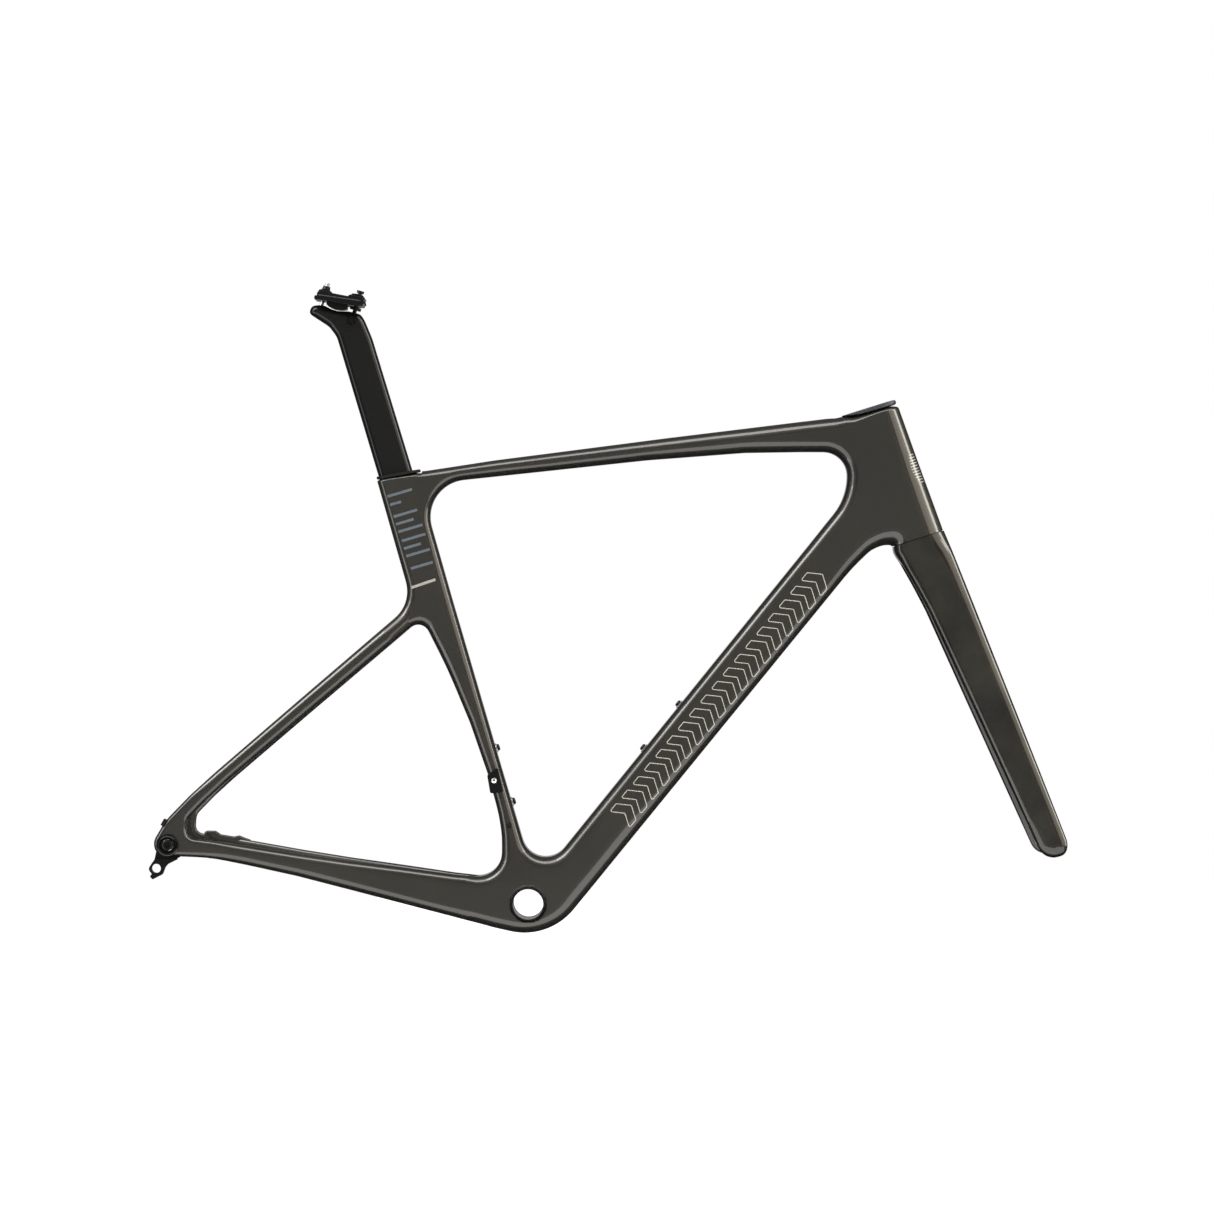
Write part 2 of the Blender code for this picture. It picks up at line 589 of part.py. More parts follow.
def steerer():
    foot, axis = space(STEER_FOOT), space(STEER_UP)
    top = HEAD_LENGTH - 4.0
    tube = [(12.3, -20.0), (16.3, -20.0), (16.3, 12.0), (STEERER_R, 34.0), (STEERER_R, top), (12.0, top), (12.0, 34)]
    add("steerer", turned(tube, foot, axis, 32, closed=True), "black_carbon", "fork")
    plug = [(3.4, top - 36), (11.6, top - 36), (11.6, top - 1), (3.4, top - 1)]
    add("expander_plug", turned(plug, foot, axis, 24, closed=True), "silver_alloy", "fork")
    bolt = [(0, top - 40), (3.0, top - 40), (3.0, top - 0.6), (5.2, top - 0.6), (5.2, top + 2.2), (2.5, top + 2.2),
            (2.5, top - 1.0), (0, top - 1.0)]
    add("expander_bolt", turned(bolt, foot, axis, 12), "steel", "fork")


# ---------------------------------------------------------------- fork

def fork_crown():
    rows = [(-0.2, -29.6, 29.0, 27.0), (-8, -32.6, 29.5, 29.5), (-16, -31.0, 30.0, 32.0), (-24, -28.2, 30.4, 34.0)]
    stations = [(steer(s, rear), steer(s, front), width, 0, 2.6, 3.4) for s, rear, front, width in rows]
    crown = add("fork_crown", loft(stations, 20), "painted_carbon", "fork")
    foot, axis = space(STEER_FOOT), space(STEER_UP)
    boolean(crown, rod(16.6, -21.0, 4, foot, axis, 32), "fork")
    arch = [(0, -40), (13.5, -40), (13.5, -23), (9, -19.5), (0, -19.5)]
    boolean(crown, turned([(r, a - 2) for r, a in arch], foot, axis, 24), "fork")


def fork_blade(name, side, hole):
    rows = [(-24.3, -28.0, 30.4, 25.5, 8.8), (-50, -22.5, 31.9, 27.5, 8.8), (-80.4, -17.1, 33.6, 31.0, 8.6),
            (-180, -5.5, 39.3, 42.0, 7.8), (-280, 6.1, 45.0, 51.5, 7.0), (-345, 13.7, 48.7, 55.6, 6.0),
            (-378, 17.5, 50.3, 56.3, 6.0), (-386, 20.6, 48.4, 56.3, 5.9), (-391, 25.5, 44.2, 56.3, 5.7),
            (-393.2, 31.0, 39.0, 56.3, 5.2)]
    stations = [(steer(s, rear), steer(s, front), width, side * y, 2.9) for s, rear, front, y, width in rows]
    blade = add(name, loft(stations, 14), "painted_carbon", "fork")
    hollow = [thinner(s, 1.9) for s in stations[:6]]
    low, high, *rest = hollow[0]
    hollow.insert(0, (low + STEER_UP * 3, high + STEER_UP * 3, *rest))
    boolean(blade, loft(hollow, 14), "fork")
    boolean(blade, rod(9.3, *hole, space(FRONT_AXLE), ACROSS, 20), "fork")


def front_axle_hardware():
    foot = space(FRONT_AXLE)
    insert = ring(6.2, 9.0, -FORK_FACE - 8.5, -FORK_FACE, foot, ACROSS, 24)
    add("right_fork_insert", insert, "silver_alloy", "fork")
    bush = ring(6.2, 9.0, FORK_FACE, FORK_FACE + 12.5, foot, ACROSS, 24)
    add("left_fork_bush", bush, "silver_alloy", "fork")
    out = FORK_FACE + 12.5
    axle = [(0, -FORK_FACE - 8.0), (5.2, -FORK_FACE - 8.0), (AXLE_R, -FORK_FACE - 7.0), (AXLE_R, out + GAP),
            (8.8, out + GAP), (8.8, out + 2.6), (7.8, out + 3.6), (3.0, out + 3.6), (3.0, out - 2.5), (0, out - 2.5)]
    add("front_thru_axle", turned(axle, foot, ACROSS, 24), "black_alloy", "front_axle")


# ---------------------------------------------------------------- seatpost and saddle clamp

def tilt_centre():
    return jaw(0, TILT_RISE)


def seatpost():
    chord, width = POST_CHORD / 2, POST_HALF_WIDTH
    stations = [(seat(s, -chord), seat(s, chord), width, 0, 2.8) for s in (-POST_INSERTION, POST_EXPOSED - 14)]
    head = [((-221.0, 651.2), (-180.6, 655.5), 12.7), ((-232.0, 658.8), (-186.0, 663.4), 13.2),
            ((-243.5, 666.8), (-190.2, 667.6), 13.6), ((-249.6, 671.4), (-195.0, 670.6), 13.8),
            ((-249.0, 675.6), (-205, 673.6), 13.8), ((-244.5, 678.6), (-216.0, 675.9), 13.4),
            ((-238.5, 679.9), (-224.0, 678.2), 12.0)]
    stations += [(low, high, w, 0, 3.0) for low, high, w in head]
    post = add("seatpost", loft(stations, 20), "black_carbon", "seatpost")
    hollow = [thinner((seat(s, -chord), seat(s, chord), width, 0, 2.8), 2.2) for s in (-POST_INSERTION - 4, 128)]
    boolean(post, loft(hollow, 16), "seatpost")
    cradle_seat = rod(TILT_RADIUS + 0.4, -40, 40, space(tilt_centre()), ACROSS, 48)
    boolean(post, cradle_seat, "seatpost")
    for foot, low in ((front_bolt_foot(), -10.0), (rear_bolt_foot(), -19.5)):
        boolean(post, rod(4.9, low, 12, space(foot), space(BOLT_UP), 16), "seatpost")
    boolean(post, rod(5.8, -30, 30, space(CROSS_NUT), ACROSS, 20), "seatpost")
    nut = [(0, -13.2), (5.5, -13.2), (5.5, 13.2), (3.0, 13.2), (3.0, 10.5), (0, 10.5)]
    add("clamp_cross_nut", turned([(r, -a) for r, a in nut], space(CROSS_NUT), ACROSS, 20), "black_alloy", "seatpost")


def front_bolt_foot():
    """Where the front bolt's axis leaves the wheel's lower face."""
    return Vector(CROSS_NUT) + BOLT_UP * 11.5


def rear_bolt_foot():
    """A point on the rear bolt's axis level with the jaws."""
    return jaw(-18.8, 0)


def jaw_piece(low_u, high_u, low_v, high_v, trim=1.0):
    return rounded([(*jaw(low_u, low_v), trim), (*jaw(high_u, low_v), trim),
                    (*jaw(high_u, high_v), trim), (*jaw(low_u, high_v), trim)], 2)


def cut_rails(obj):
    """Grooves for the two saddle rails."""
    for y in (-RAIL_SPACING / 2, RAIL_SPACING / 2):
        foot = space(jaw(0, 1.2), y)
        boolean(obj, rod(RAIL_R + RAIL_ROOM, -60, 60, foot, space(JAW_AHEAD), 16), "saddle_clamp")


def rocker_outline():
    """The cradle's round underside, an arc about the tilt centre."""
    arc = []
    for step in range(9):
        along = ROCKER_REAR + (ROCKER_FRONT - ROCKER_REAR) * step / 8
        arc.append(jaw(along, TILT_RISE - math.sqrt(TILT_RADIUS ** 2 - along ** 2)))
    return arc + [jaw(ROCKER_FRONT, -2), jaw(ROCKER_REAR, -2)]


def saddle_clamp():
    half = JAW_LENGTH / 2
    across = JAW_HALF_WIDTH
    bolts = (front_bolt_foot(), rear_bolt_foot())
    cradle = add("lower_cradle", plate(jaw_piece(-half, half, -4.5, 0), -across, across, 0.6), "black_alloy",
                 "saddle_clamp")
    boolean(cradle, plate(rocker_outline(), -13, 13), "saddle_clamp", "UNION")
    hollow = plate([jaw(-9, -4), jaw(8, -4), jaw(8, 5), jaw(-9, 5)], -10.5, 10.5)
    boolean(cradle, hollow, "saddle_clamp")
    cut_rails(cradle)
    for foot in bolts:
        boolean(cradle, rod(3.0, -20, 60, space(foot), space(BOLT_UP), 12), "saddle_clamp")
    for name, low, high, foot in (("rear_rail_clamp", -half, -half + 15, bolts[1]),
                                  ("front_rail_clamp", half - 15, half, bolts[0])):
        clamp = add(name, plate(jaw_piece(low, high, 2.4, 7.0, 1.5), -across, across, 0.8), "black_alloy",
                    "saddle_clamp")
        cut_rails(clamp)
        boolean(clamp, rod(3.0, -20, 60, space(foot), space(BOLT_UP), 12), "saddle_clamp")
    clamp_bolts(*bolts)


def clamp_bolts(front, rear):
    axis = space(BOLT_UP)
    bolt = [(0, -4.5), (2.4, -4.5), (2.4, 21.6), (4.2, 21.6), (4.2, 24.6), (1.6, 24.6), (1.6, 22.6), (0, 22.6)]
    add("front_clamp_bolt", turned(bolt, space(front), axis, 12), "steel", "saddle_clamp")
    wheel = ring(2.8, 6.6, 1.6, 5.0, space(front), axis, 16)
    add("tilt_adjusting_wheel", wheel, "black_alloy", "saddle_clamp")
    bolt = [(0, -15.5), (2.4, -15.5), (2.4, 17.0), (0, 17.0)]
    add("rear_clamp_bolt", turned(bolt, space(rear), axis, 12), "steel", "saddle_clamp")
    nut = turned([(2.8, 8.6), (5.0, 8.6), (4.0, 13.2), (2.8, 13.2)], space(rear), axis, 12, closed=True)
    add("rear_clamp_nut", nut, "black_alloy", "saddle_clamp")


# ---------------------------------------------------------------- the whole

def make_bodies():
    make_body("frame", (0, 0, 0))
    make_body("fork", space(STEER_FOOT), "frame")
    foot, axis = space(STEER_FOOT), space(STEER_UP)
    make_body("lower_bearing", foot + axis * sum(LOWER_RACES) / 2, "frame")
    make_body("upper_bearing", foot + axis * sum(UPPER_RACES) / 2, "frame")
    make_body("seatpost", space(SEAT_TOP), "frame")
    make_body("saddle_clamp", space(tilt_centre()), "seatpost")
    make_body("seat_wedge", wedge_point(), "frame")
    make_body("rear_axle", space(REAR_AXLE), "frame")
    make_body("front_axle", space(FRONT_AXLE), "fork")


def main():
    clear_scene()
    make_materials()
    make_bodies()
    head_tube()
    top_tube()
    down_tube()
    seat_tube()
    bottom_bracket_shell()
    for side, word in ((-1, "right"), (1, "left")):
        chainstay(word + "_chainstay", side)
        seatstay(word + "_seatstay", side)
    dropout("right_dropout", -DROPOUT_OUT, -REAR_FACE - 3.3)
    dropout("left_dropout", REAR_FACE, DROPOUT_OUT)
    derailleur_hanger()
    rear_axle_hardware()
    bottle_fasteners()
    front_derailleur_mount()
    rear_brake_mount()
    seat_collar_cover()
    seat_wedge()
    small_plugs()
    headset()
    steerer()
    fork_crown()
    fork_blade("right_fork_blade", -1, (-59.2, -40))
    fork_blade("left_fork_blade", 1, (40, 80))
    front_axle_hardware()
    seatpost()
    saddle_clamp()


main()
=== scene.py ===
"""Looks of the road frameset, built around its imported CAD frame.

The painted shells are smooth monocoques: each is the level surface of a field that knows the side outline's
edges and, at every point of the side plane, how far out the surface lies. Fittings and decals are meshes laid
on them. Axes: +X to the front, +Y to the rider's left, +Z up, in metres; y < 0 is the drive side.
"""

import json
import math

import bmesh
import bpy
import numpy as np
from mathutils import Matrix, Vector

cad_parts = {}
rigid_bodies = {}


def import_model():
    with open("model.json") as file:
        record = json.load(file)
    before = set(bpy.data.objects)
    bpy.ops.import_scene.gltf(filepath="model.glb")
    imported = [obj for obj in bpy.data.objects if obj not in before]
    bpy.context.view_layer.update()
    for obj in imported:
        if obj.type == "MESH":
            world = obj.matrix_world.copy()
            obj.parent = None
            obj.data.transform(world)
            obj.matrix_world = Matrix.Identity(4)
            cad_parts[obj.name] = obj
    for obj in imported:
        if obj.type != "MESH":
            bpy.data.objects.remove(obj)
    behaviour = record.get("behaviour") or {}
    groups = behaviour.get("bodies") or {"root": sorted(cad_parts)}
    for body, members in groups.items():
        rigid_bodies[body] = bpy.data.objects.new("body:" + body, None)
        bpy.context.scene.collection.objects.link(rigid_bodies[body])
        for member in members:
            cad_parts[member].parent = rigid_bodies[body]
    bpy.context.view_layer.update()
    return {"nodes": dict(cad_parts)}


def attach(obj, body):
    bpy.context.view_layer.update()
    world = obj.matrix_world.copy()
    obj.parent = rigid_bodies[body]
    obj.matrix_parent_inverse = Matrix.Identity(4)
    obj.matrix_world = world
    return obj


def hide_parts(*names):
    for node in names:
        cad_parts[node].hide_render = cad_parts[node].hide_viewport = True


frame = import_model()

MM = 0.001
CELL = 1.5 * MM                            # side plane's grid
SPACING = 1.8 * MM     # shells' mesh
BLUR_EDGE = 4                              # smoothing passes of edge distances
BLUR_WIDTH = 22                            # and of widths
BLUR_CORNER = 8                            # and of the flanks' corners
OUTER_CORNER_SHARE = 0.62                  # the most of a wall's thickness that its outer corner takes
INNER_CORNER_SHARE = 0.34                  # and its inner one
MOST_NET_CORNERS = 8                       # a face with more corners than this is a cut's flat cap

HEAD_ANGLE = 72.0
SEAT_ANGLE = 73.4
STEER_FOOT = (0.4446, 0.4151)        # where the head tube and the fork part
SEAT_TOP = (-0.1518, 0.4917)
REAR_AXLE = (-0.4049, 0.0689)
SEAM_GAP = 0.35 * MM                 # half the gap between the head tube and the fork
POST_HALF_CHORD = 19.65 * MM
BORE_R = 18.3 * MM
AXLE_HOLE_R = 9.3 * MM
COLLAR_FOOT = (-0.1725, 0.4815)
COLLAR_FRONT = -0.1195
COLLAR_LEAN = math.atan2(0.0090, 0.0505)
COLLAR_SHARP_FROM = -0.155            # the collar edge's radius grows from here to its front
COLLAR_REAR_R, COLLAR_FRONT_R = 1.8 * MM, 5.5 * MM

ACROSS = Vector((0, 1, 0))


# ---------------------------------------------------------------- frames of reference

def polar(angle):
    return np.array((math.cos(math.radians(angle)), math.sin(math.radians(angle))))


STEER_UP, STEER_AHEAD = polar(180 - HEAD_ANGLE), polar(90 - HEAD_ANGLE)
SEAT_UP, SEAT_AHEAD = polar(180 - SEAT_ANGLE), polar(90 - SEAT_ANGLE)


def steer(along, ahead):
    return tuple(np.array(STEER_FOOT) + STEER_UP * along + STEER_AHEAD * ahead)


def seat(along, ahead):
    return tuple(np.array(SEAT_TOP) + SEAT_UP * along + SEAT_AHEAD * ahead)


def space(point, y=0.0):
    return Vector((point[0], y, point[1]))


# ---------------------------------------------------------------- side outlines

def rounded(corners, step=4.0, reach=0.45):
    """Smooth closed outline through corners (x, z) or (x, z, radius).

    A corner without a radius gets as long an arc as fits.
    """
    points = [np.array(c[:2], float) for c in corners]
    count = len(points)
    spans = [np.linalg.norm(points[(k + 1) % count] - points[k]) for k in range(count)]
    turns, reaches = [], []
    for k in range(count):
        before = (points[k] - points[k - 1]) / spans[k - 1]
        after = (points[(k + 1) % count] - points[k]) / spans[k]
        turns.append(math.atan2(before[0] * after[1] - before[1] * after[0], before @ after))
        fixed = len(corners[k]) > 2
        reaches.append(corners[k][2] * math.tan(abs(turns[k]) / 2) if fixed else None)
    outline = []
    for k in range(count):
        along = reaches[k]
        if along is None:
            room = [spans[k - 1] - (reaches[k - 1] or 0), spans[k] - (reaches[(k + 1) % count] or 0)]
            along = reach * min(room)
        before = (points[k] - points[k - 1]) / spans[k - 1]
        after = (points[(k + 1) % count] - points[k]) / spans[k]
        start, end = points[k] - before * along, points[k] + after * along
        pieces = max(1, math.ceil(abs(math.degrees(turns[k])) / step))
        if pieces == 1:
            outline.append(points[k])
            continue
        for t in np.linspace(0, 1, pieces + 1):
            weight = math.cos(turns[k] / 2)
            blend = (1 - t) ** 2, 2 * t * (1 - t) * weight, t * t
            outline.append((start * blend[0] + points[k] * blend[1] + end * blend[2]) / sum(blend))
    return np.array(outline)


def signed_distance(x, z, outline):
    """Distance to a closed outline, positive inside it."""
    nearest = np.full(x.shape, np.inf)
    inside = np.zeros(x.shape, bool)
    for a, b in zip(outline, np.roll(outline, -1, axis=0)):
        along = b - a
        length = along @ along
        if length < 1e-14:
            continue
        t = np.clip(((x - a[0]) * along[0] + (z - a[1]) * along[1]) / length, 0, 1)
        nearest = np.minimum(nearest, (x - a[0] - t * along[0]) ** 2 + (z - a[1] - t * along[1]) ** 2)
        if a[1] != b[1]:
            crosses = (a[1] > z) != (b[1] > z)
            inside ^= crosses & (x < a[0] + (z - a[1]) * along[0] / along[1])
    return np.where(inside, 1, -1) * np.sqrt(nearest)


def blurred(values, passes):
    for _ in range(passes):
        padded = np.pad(values, 1, mode="edge")
        values = (padded[:-2, 1:-1] + 2 * values + padded[2:, 1:-1]) / 4
        padded = np.pad(values, 1, mode="edge")
        values = (padded[1:-1, :-2] + 2 * values + padded[1:-1, 2:]) / 4
    return values


def smoothstep(low, high, value):
    t = np.clip((value - low) / (high - low), 0, 1)
    return t * t * (3 - 2 * t)


def spread(x, z, places, reach):
    """Values given at a few places (x, z, value...), spread smoothly over the side plane."""
    places = np.array(places) * MM
    total = np.zeros(x.shape)
    sums = [np.zeros(x.shape) for _ in range(places.shape[1] - 2)]
    for place in places:
        weight = np.exp(-((x - place[0]) ** 2 + (z - place[1]) ** 2) / (2 * reach ** 2)) + 1e-12
        total += weight
        for k, value in enumerate(place[2:]):
            sums[k] += weight * value
    return [s / total for s in sums]


# ---------------------------------------------------------------- fields

class Field:
    """A shell's field over the side plane. Below zero is inside."""

    def __init__(self, low, high, soft=0.0, cell=CELL, spacing=SPACING):
        self.low, self.cell, self.spacing = np.array(low), cell, spacing
        xs = np.arange(low[0], high[0], cell)
        zs = np.arange(low[1], high[1], cell)
        self.high = np.array((xs[-1], zs[-1]))
        self.x, self.z = np.meshgrid(xs, zs, indexing="ij")
        self.soft = soft
        self.edges = np.zeros(self.x.shape)

    def edge(self, distance, radius, blur=BLUR_EDGE):
        """Round the shell towards an edge of the side outline, over the given radius."""
        near = np.maximum(radius - blurred(distance, blur), 0) / radius
        self.edges = self.edges + near ** 2

    def widths(self, outer, inner, corner, blur=BLUR_WIDTH):
        """The flanks' distances from the middle plane, with the corner's depth on the outer one."""
        outer, inner = blurred(outer, blur), blurred(inner, blur)
        outside = blurred(np.minimum(corner, OUTER_CORNER_SHARE * (outer - inner)), BLUR_CORNER)
        inside = blurred(np.minimum(corner, INNER_CORNER_SHARE * (outer - inner)), BLUR_CORNER)
        self.layers = np.stack([self.edges, outer, inner, outside, inside])

    def sample(self, x, z):
        u = np.clip((x - self.low[0]) / self.cell, 0, self.x.shape[0] - 1.001)
        v = np.clip((z - self.low[1]) / self.cell, 0, self.x.shape[1] - 1.001)
        i, j = u.astype(int), v.astype(int)
        u, v = u - i, v - j
        a = self.layers
        return (a[:, i, j] * (1 - u) * (1 - v) + a[:, i + 1, j] * u * (1 - v)
                + a[:, i, j + 1] * (1 - u) * v + a[:, i + 1, j + 1] * u * v)

    def level(self, sampled, y):
        edges, outer, inner, outside, inside = sampled
        across = np.sqrt(y * y + self.soft ** 2)
        far = np.maximum(across - outer + outside, 0) / outside
        near = np.maximum(inner + inside - across, 0) / inside
        return np.sqrt(edges + far ** 2 + near ** 2) - 1

    def at(self, points):
        return self.level(self.sample(points[:, 0], points[:, 2]), points[:, 1])

    def slope(self, points):
        """Central differences a whole cell wide, which vary smoothly from cell to cell."""
        columns = []
        for offset in np.eye(3) * self.cell:
            columns.append((self.at(points + offset) - self.at(points - offset)) / (2 * self.cell))
        return np.stack(columns, axis=1)

    def normals(self, points):
        slope = self.slope(points)
        return slope / np.maximum(np.linalg.norm(slope, axis=1, keepdims=True), 1e-9)

    def project(self, points, rounds=3):
        for _ in range(rounds):
            slope = self.slope(points)
            steepness = np.maximum((slope ** 2).sum(axis=1), 1.0)
            move = slope * (self.at(points) / steepness)[:, None]
            length = np.linalg.norm(move, axis=1, keepdims=True)
            points = points - move * np.minimum(1, self.spacing / np.maximum(length, 1e-12))
        return points

    def surface_y(self, x, z):
        """How far out the outer surface lies at points of the side plane."""
        edges, outer, _, corner, _ = self.sample(x, z)
        return outer - corner + corner * np.sqrt(np.maximum(1 - edges, 0))


def surface_net(field):
    """Quads of a field's zero surface: one vertex in each grid cell that it crosses."""
    spacing = field.spacing
    xs = np.arange(field.low[0], field.high[0], spacing)
    zs = np.arange(field.low[1], field.high[1], spacing)
    sampled = field.sample(*[g.ravel() for g in np.meshgrid(xs, zs, indexing="ij")])
    sampled = sampled.reshape(5, len(xs), 1, len(zs))
    reach = int(field.layers[1].max() / spacing) + 3
    ys = np.arange(0, reach + 1) * spacing
    half = field.level(sampled, ys[None, :, None])
    values = np.concatenate([half[:, :0:-1], half], axis=1)
    origin = np.array((xs[0], -ys[-1], zs[0]))

    inside = values < 0
    shape = np.array(values.shape)
    corners = [(a, b, c) for a in (0, 1) for b in (0, 1) for c in (0, 1)]

    def window(array, corner):
        return array[tuple(slice(c, c + n - 1) for c, n in zip(corner, shape))]

    count = sum(window(inside, c).astype(int) for c in corners)
    active = (count > 0) & (count < 8)
    index = np.full(active.shape, -1)
    index[active] = np.arange(active.sum())
    cells = np.argwhere(active)
    picked = {c: window(values, c)[active] for c in corners}
    total, crossings = np.zeros((len(cells), 3)), np.zeros(len(cells))
    for a in corners:
        for axis in range(3):
            if a[axis]:
                continue
            b = tuple(1 if k == axis else a[k] for k in range(3))
            first, second = picked[a], picked[b]
            crossed = (first < 0) != (second < 0)
            t = np.where(crossed, first / np.where(crossed, first - second, 1), 0)
            place = np.array(a, float) + t[:, None] * (np.array(b) - np.array(a))
            total += np.where(crossed[:, None], place, 0)
            crossings += crossed
    points = origin + (cells + total / crossings[:, None]) * spacing

    quads = []
    for axis in range(3):
        b, c = (axis + 1) % 3, (axis + 2) % 3
        low = inside[tuple(slice(0, -1) if k == axis else slice(None) for k in range(3))]
        high = inside[tuple(slice(1, None) if k == axis else slice(None) for k in range(3))]
        where = np.argwhere(low != high)
        keep = (where[:, [b, c]] > 0).all(axis=1) & (where[:, [b, c]] < shape[[b, c]] - 1).all(axis=1)
        where = where[keep]
        step_b, step_c = np.eye(3, dtype=int)[b], np.eye(3, dtype=int)[c]
        ring = [index[tuple((where - offset).T)] for offset in (0 * step_b, step_b, step_b + step_c, step_c)]
        ring = np.stack(ring, axis=1)
        outward = low[tuple(where.T)]
        quads.append(np.where(outward[:, None], ring, ring[:, ::-1]))
    return points, np.concatenate(quads)


def relaxed(field, points, quads, rounds=7):
    """Even out a net along its surface."""
    ends = np.concatenate([quads[:, [0, 1]], quads[:, [1, 2]], quads[:, [2, 3]], quads[:, [3, 0]]])
    ends = np.concatenate([ends, ends[:, ::-1]])
    degree = np.bincount(ends[:, 0], minlength=len(points))[:, None]
    for _ in range(rounds):
        mean = np.stack([np.bincount(ends[:, 0], points[ends[:, 1], k], len(points)) for k in range(3)], axis=1)
        move = mean / degree - points
        normals = field.normals(points)
        move -= normals * (move * normals).sum(axis=1, keepdims=True)
        points = field.project(points + 0.6 * move, 1)
    return points


def cut_flat(mesh, point, normal, near):
    """Cut away what lies beyond a plane, among the faces near it, and cap the cut."""
    faces = [f for f in mesh.faces if near(f.calc_center_median())]
    edges = {e for f in faces for e in f.edges}
    verts = {v for f in faces for v in f.verts}
    cut = bmesh.ops.bisect_plane(mesh, geom=faces + list(edges) + list(verts), plane_co=point, plane_no=normal,
                                 clear_outer=True, dist=1e-7)
    rim = [e for e in cut["geom_cut"] if isinstance(e, bmesh.types.BMEdge) and e.is_boundary]
    for face in bmesh.ops.holes_fill(mesh, edges=rim)["faces"]:
        face.material_index = 0


def shell(name, field, material, cuts=()):
    points, quads = surface_net(field)
    points = relaxed(field, field.project(points), quads)
    data = bpy.data.meshes.new(name)
    data.from_pydata(points.tolist(), [], quads.tolist())
    mesh = bmesh.new()
    mesh.from_mesh(data)
    for point, normal, near in cuts:
        cut_flat(mesh, point, normal, near)
    mesh.to_mesh(data)
    mesh.free()
    set_normals(data, field)
    data.materials.append(material)
    obj = bpy.data.objects.new(name, data)
    bpy.context.scene.collection.objects.link(obj)
    return obj


def set_normals(data, field):
    """Shade a shell by its field's own slope, and its flat caps as flat."""
    data.shade_smooth()
    count = len(data.vertices)
    places = np.empty(count * 3)
    data.vertices.foreach_get("co", places)
    smooth = field.normals(places.reshape(-1, 3))
    loops = np.empty(len(data.loops), int)
    data.loops.foreach_get("vertex_index", loops)
    normals = smooth[loops]
    for face in data.polygons:
        if len(face.vertices) > MOST_NET_CORNERS:
            normals[list(face.loop_indices)] = face.normal
    data.normals_split_custom_set(normals.tolist())


# ---------------------------------------------------------------- the frame's field

FRAME_OUTLINE = [
    (-0.1725, 0.4815), (-0.1805, 0.5104), (-0.1292, 0.5165), (-0.1220, 0.4908, 0.001), (-0.0395, 0.5035),
    (0.1580, 0.5290), (0.3000, 0.5463), (0.3550, 0.5528, 0.010), (0.3640, 0.6000), (0.4065, 0.6047),
    (0.4200, 0.5670), (0.4455, 0.4960), (0.4717, 0.4245), (0.4840, 0.3860), (0.4260, 0.3660), (0.4142, 0.4073, 0.001),
    (0.4040, 0.4073), (0.3903, 0.4022), (0.3683, 0.3813), (0.0235, -0.0410, 0.072), (-0.0383, -0.0272),
    (-0.0830, -0.0150), (-0.1465, 0.0020), (-0.2035, 0.0175), (-0.2605, 0.0330), (-0.3165, 0.0460),
    (-0.3565, 0.0546), (-0.3920, 0.0560), (-0.4090, 0.0556, 0.006), (-0.4200, 0.0625, 0.008),
    (-0.4208, 0.0740, 0.010), (-0.4075, 0.0965, 0.060), (-0.3800, 0.1249), (-0.3520, 0.1506),
    (-0.2585, 0.2319), (-0.1517, 0.3243), (-0.1325, 0.3410, 0.040)]

MAIN_HOLE = [
    (-0.1235, 0.4760, 0.042), (0.0130, 0.4905), (0.1340, 0.5035), (0.2455, 0.5120), (0.3095, 0.5130),
    (0.3625, 0.5130, 0.027), (0.3625, 0.4610, 0.070), (0.3400, 0.4335), (0.3185, 0.4065), (0.0485, 0.0725),
    (0.0085, 0.0225, 0.027), (-0.0090, 0.0815), (-0.0355, 0.1715), (-0.0865, 0.3460)]

REAR_HOLE = [
    (-0.1210, 0.3245, 0.013), (-0.2470, 0.2185), (-0.3400, 0.1395), (-0.3630, 0.1186), (-0.3830, 0.0980, 0.009),
    (-0.3845, 0.0770, 0.009), (-0.3528, 0.0732), (-0.3165, 0.0678), (-0.2605, 0.0585), (-0.2035, 0.0500),
    (-0.1465, 0.0425), (-0.0830, 0.0335), (-0.0300, 0.0280, 0.027), (-0.0300, 0.0770), (-0.0335, 0.1010),
    (-0.0460, 0.1465), (-0.0665, 0.2055), (-0.0925, 0.2675), (-0.1115, 0.3050)]

# The cut along the head tube's top, under the headset cover. Its edge sharpens forward from the top tube's radius.
HEAD_TOP = [(0.300, 0.585), (0.335, 0.5680), (0.3675, 0.5540), (0.4000, 0.5625), (0.4300, 0.5708)]
HEAD_TOP_LEAN = 0.97
HEAD_SHARP = (0.340, 0.405)
HEAD_TOP_R = 5 * MM

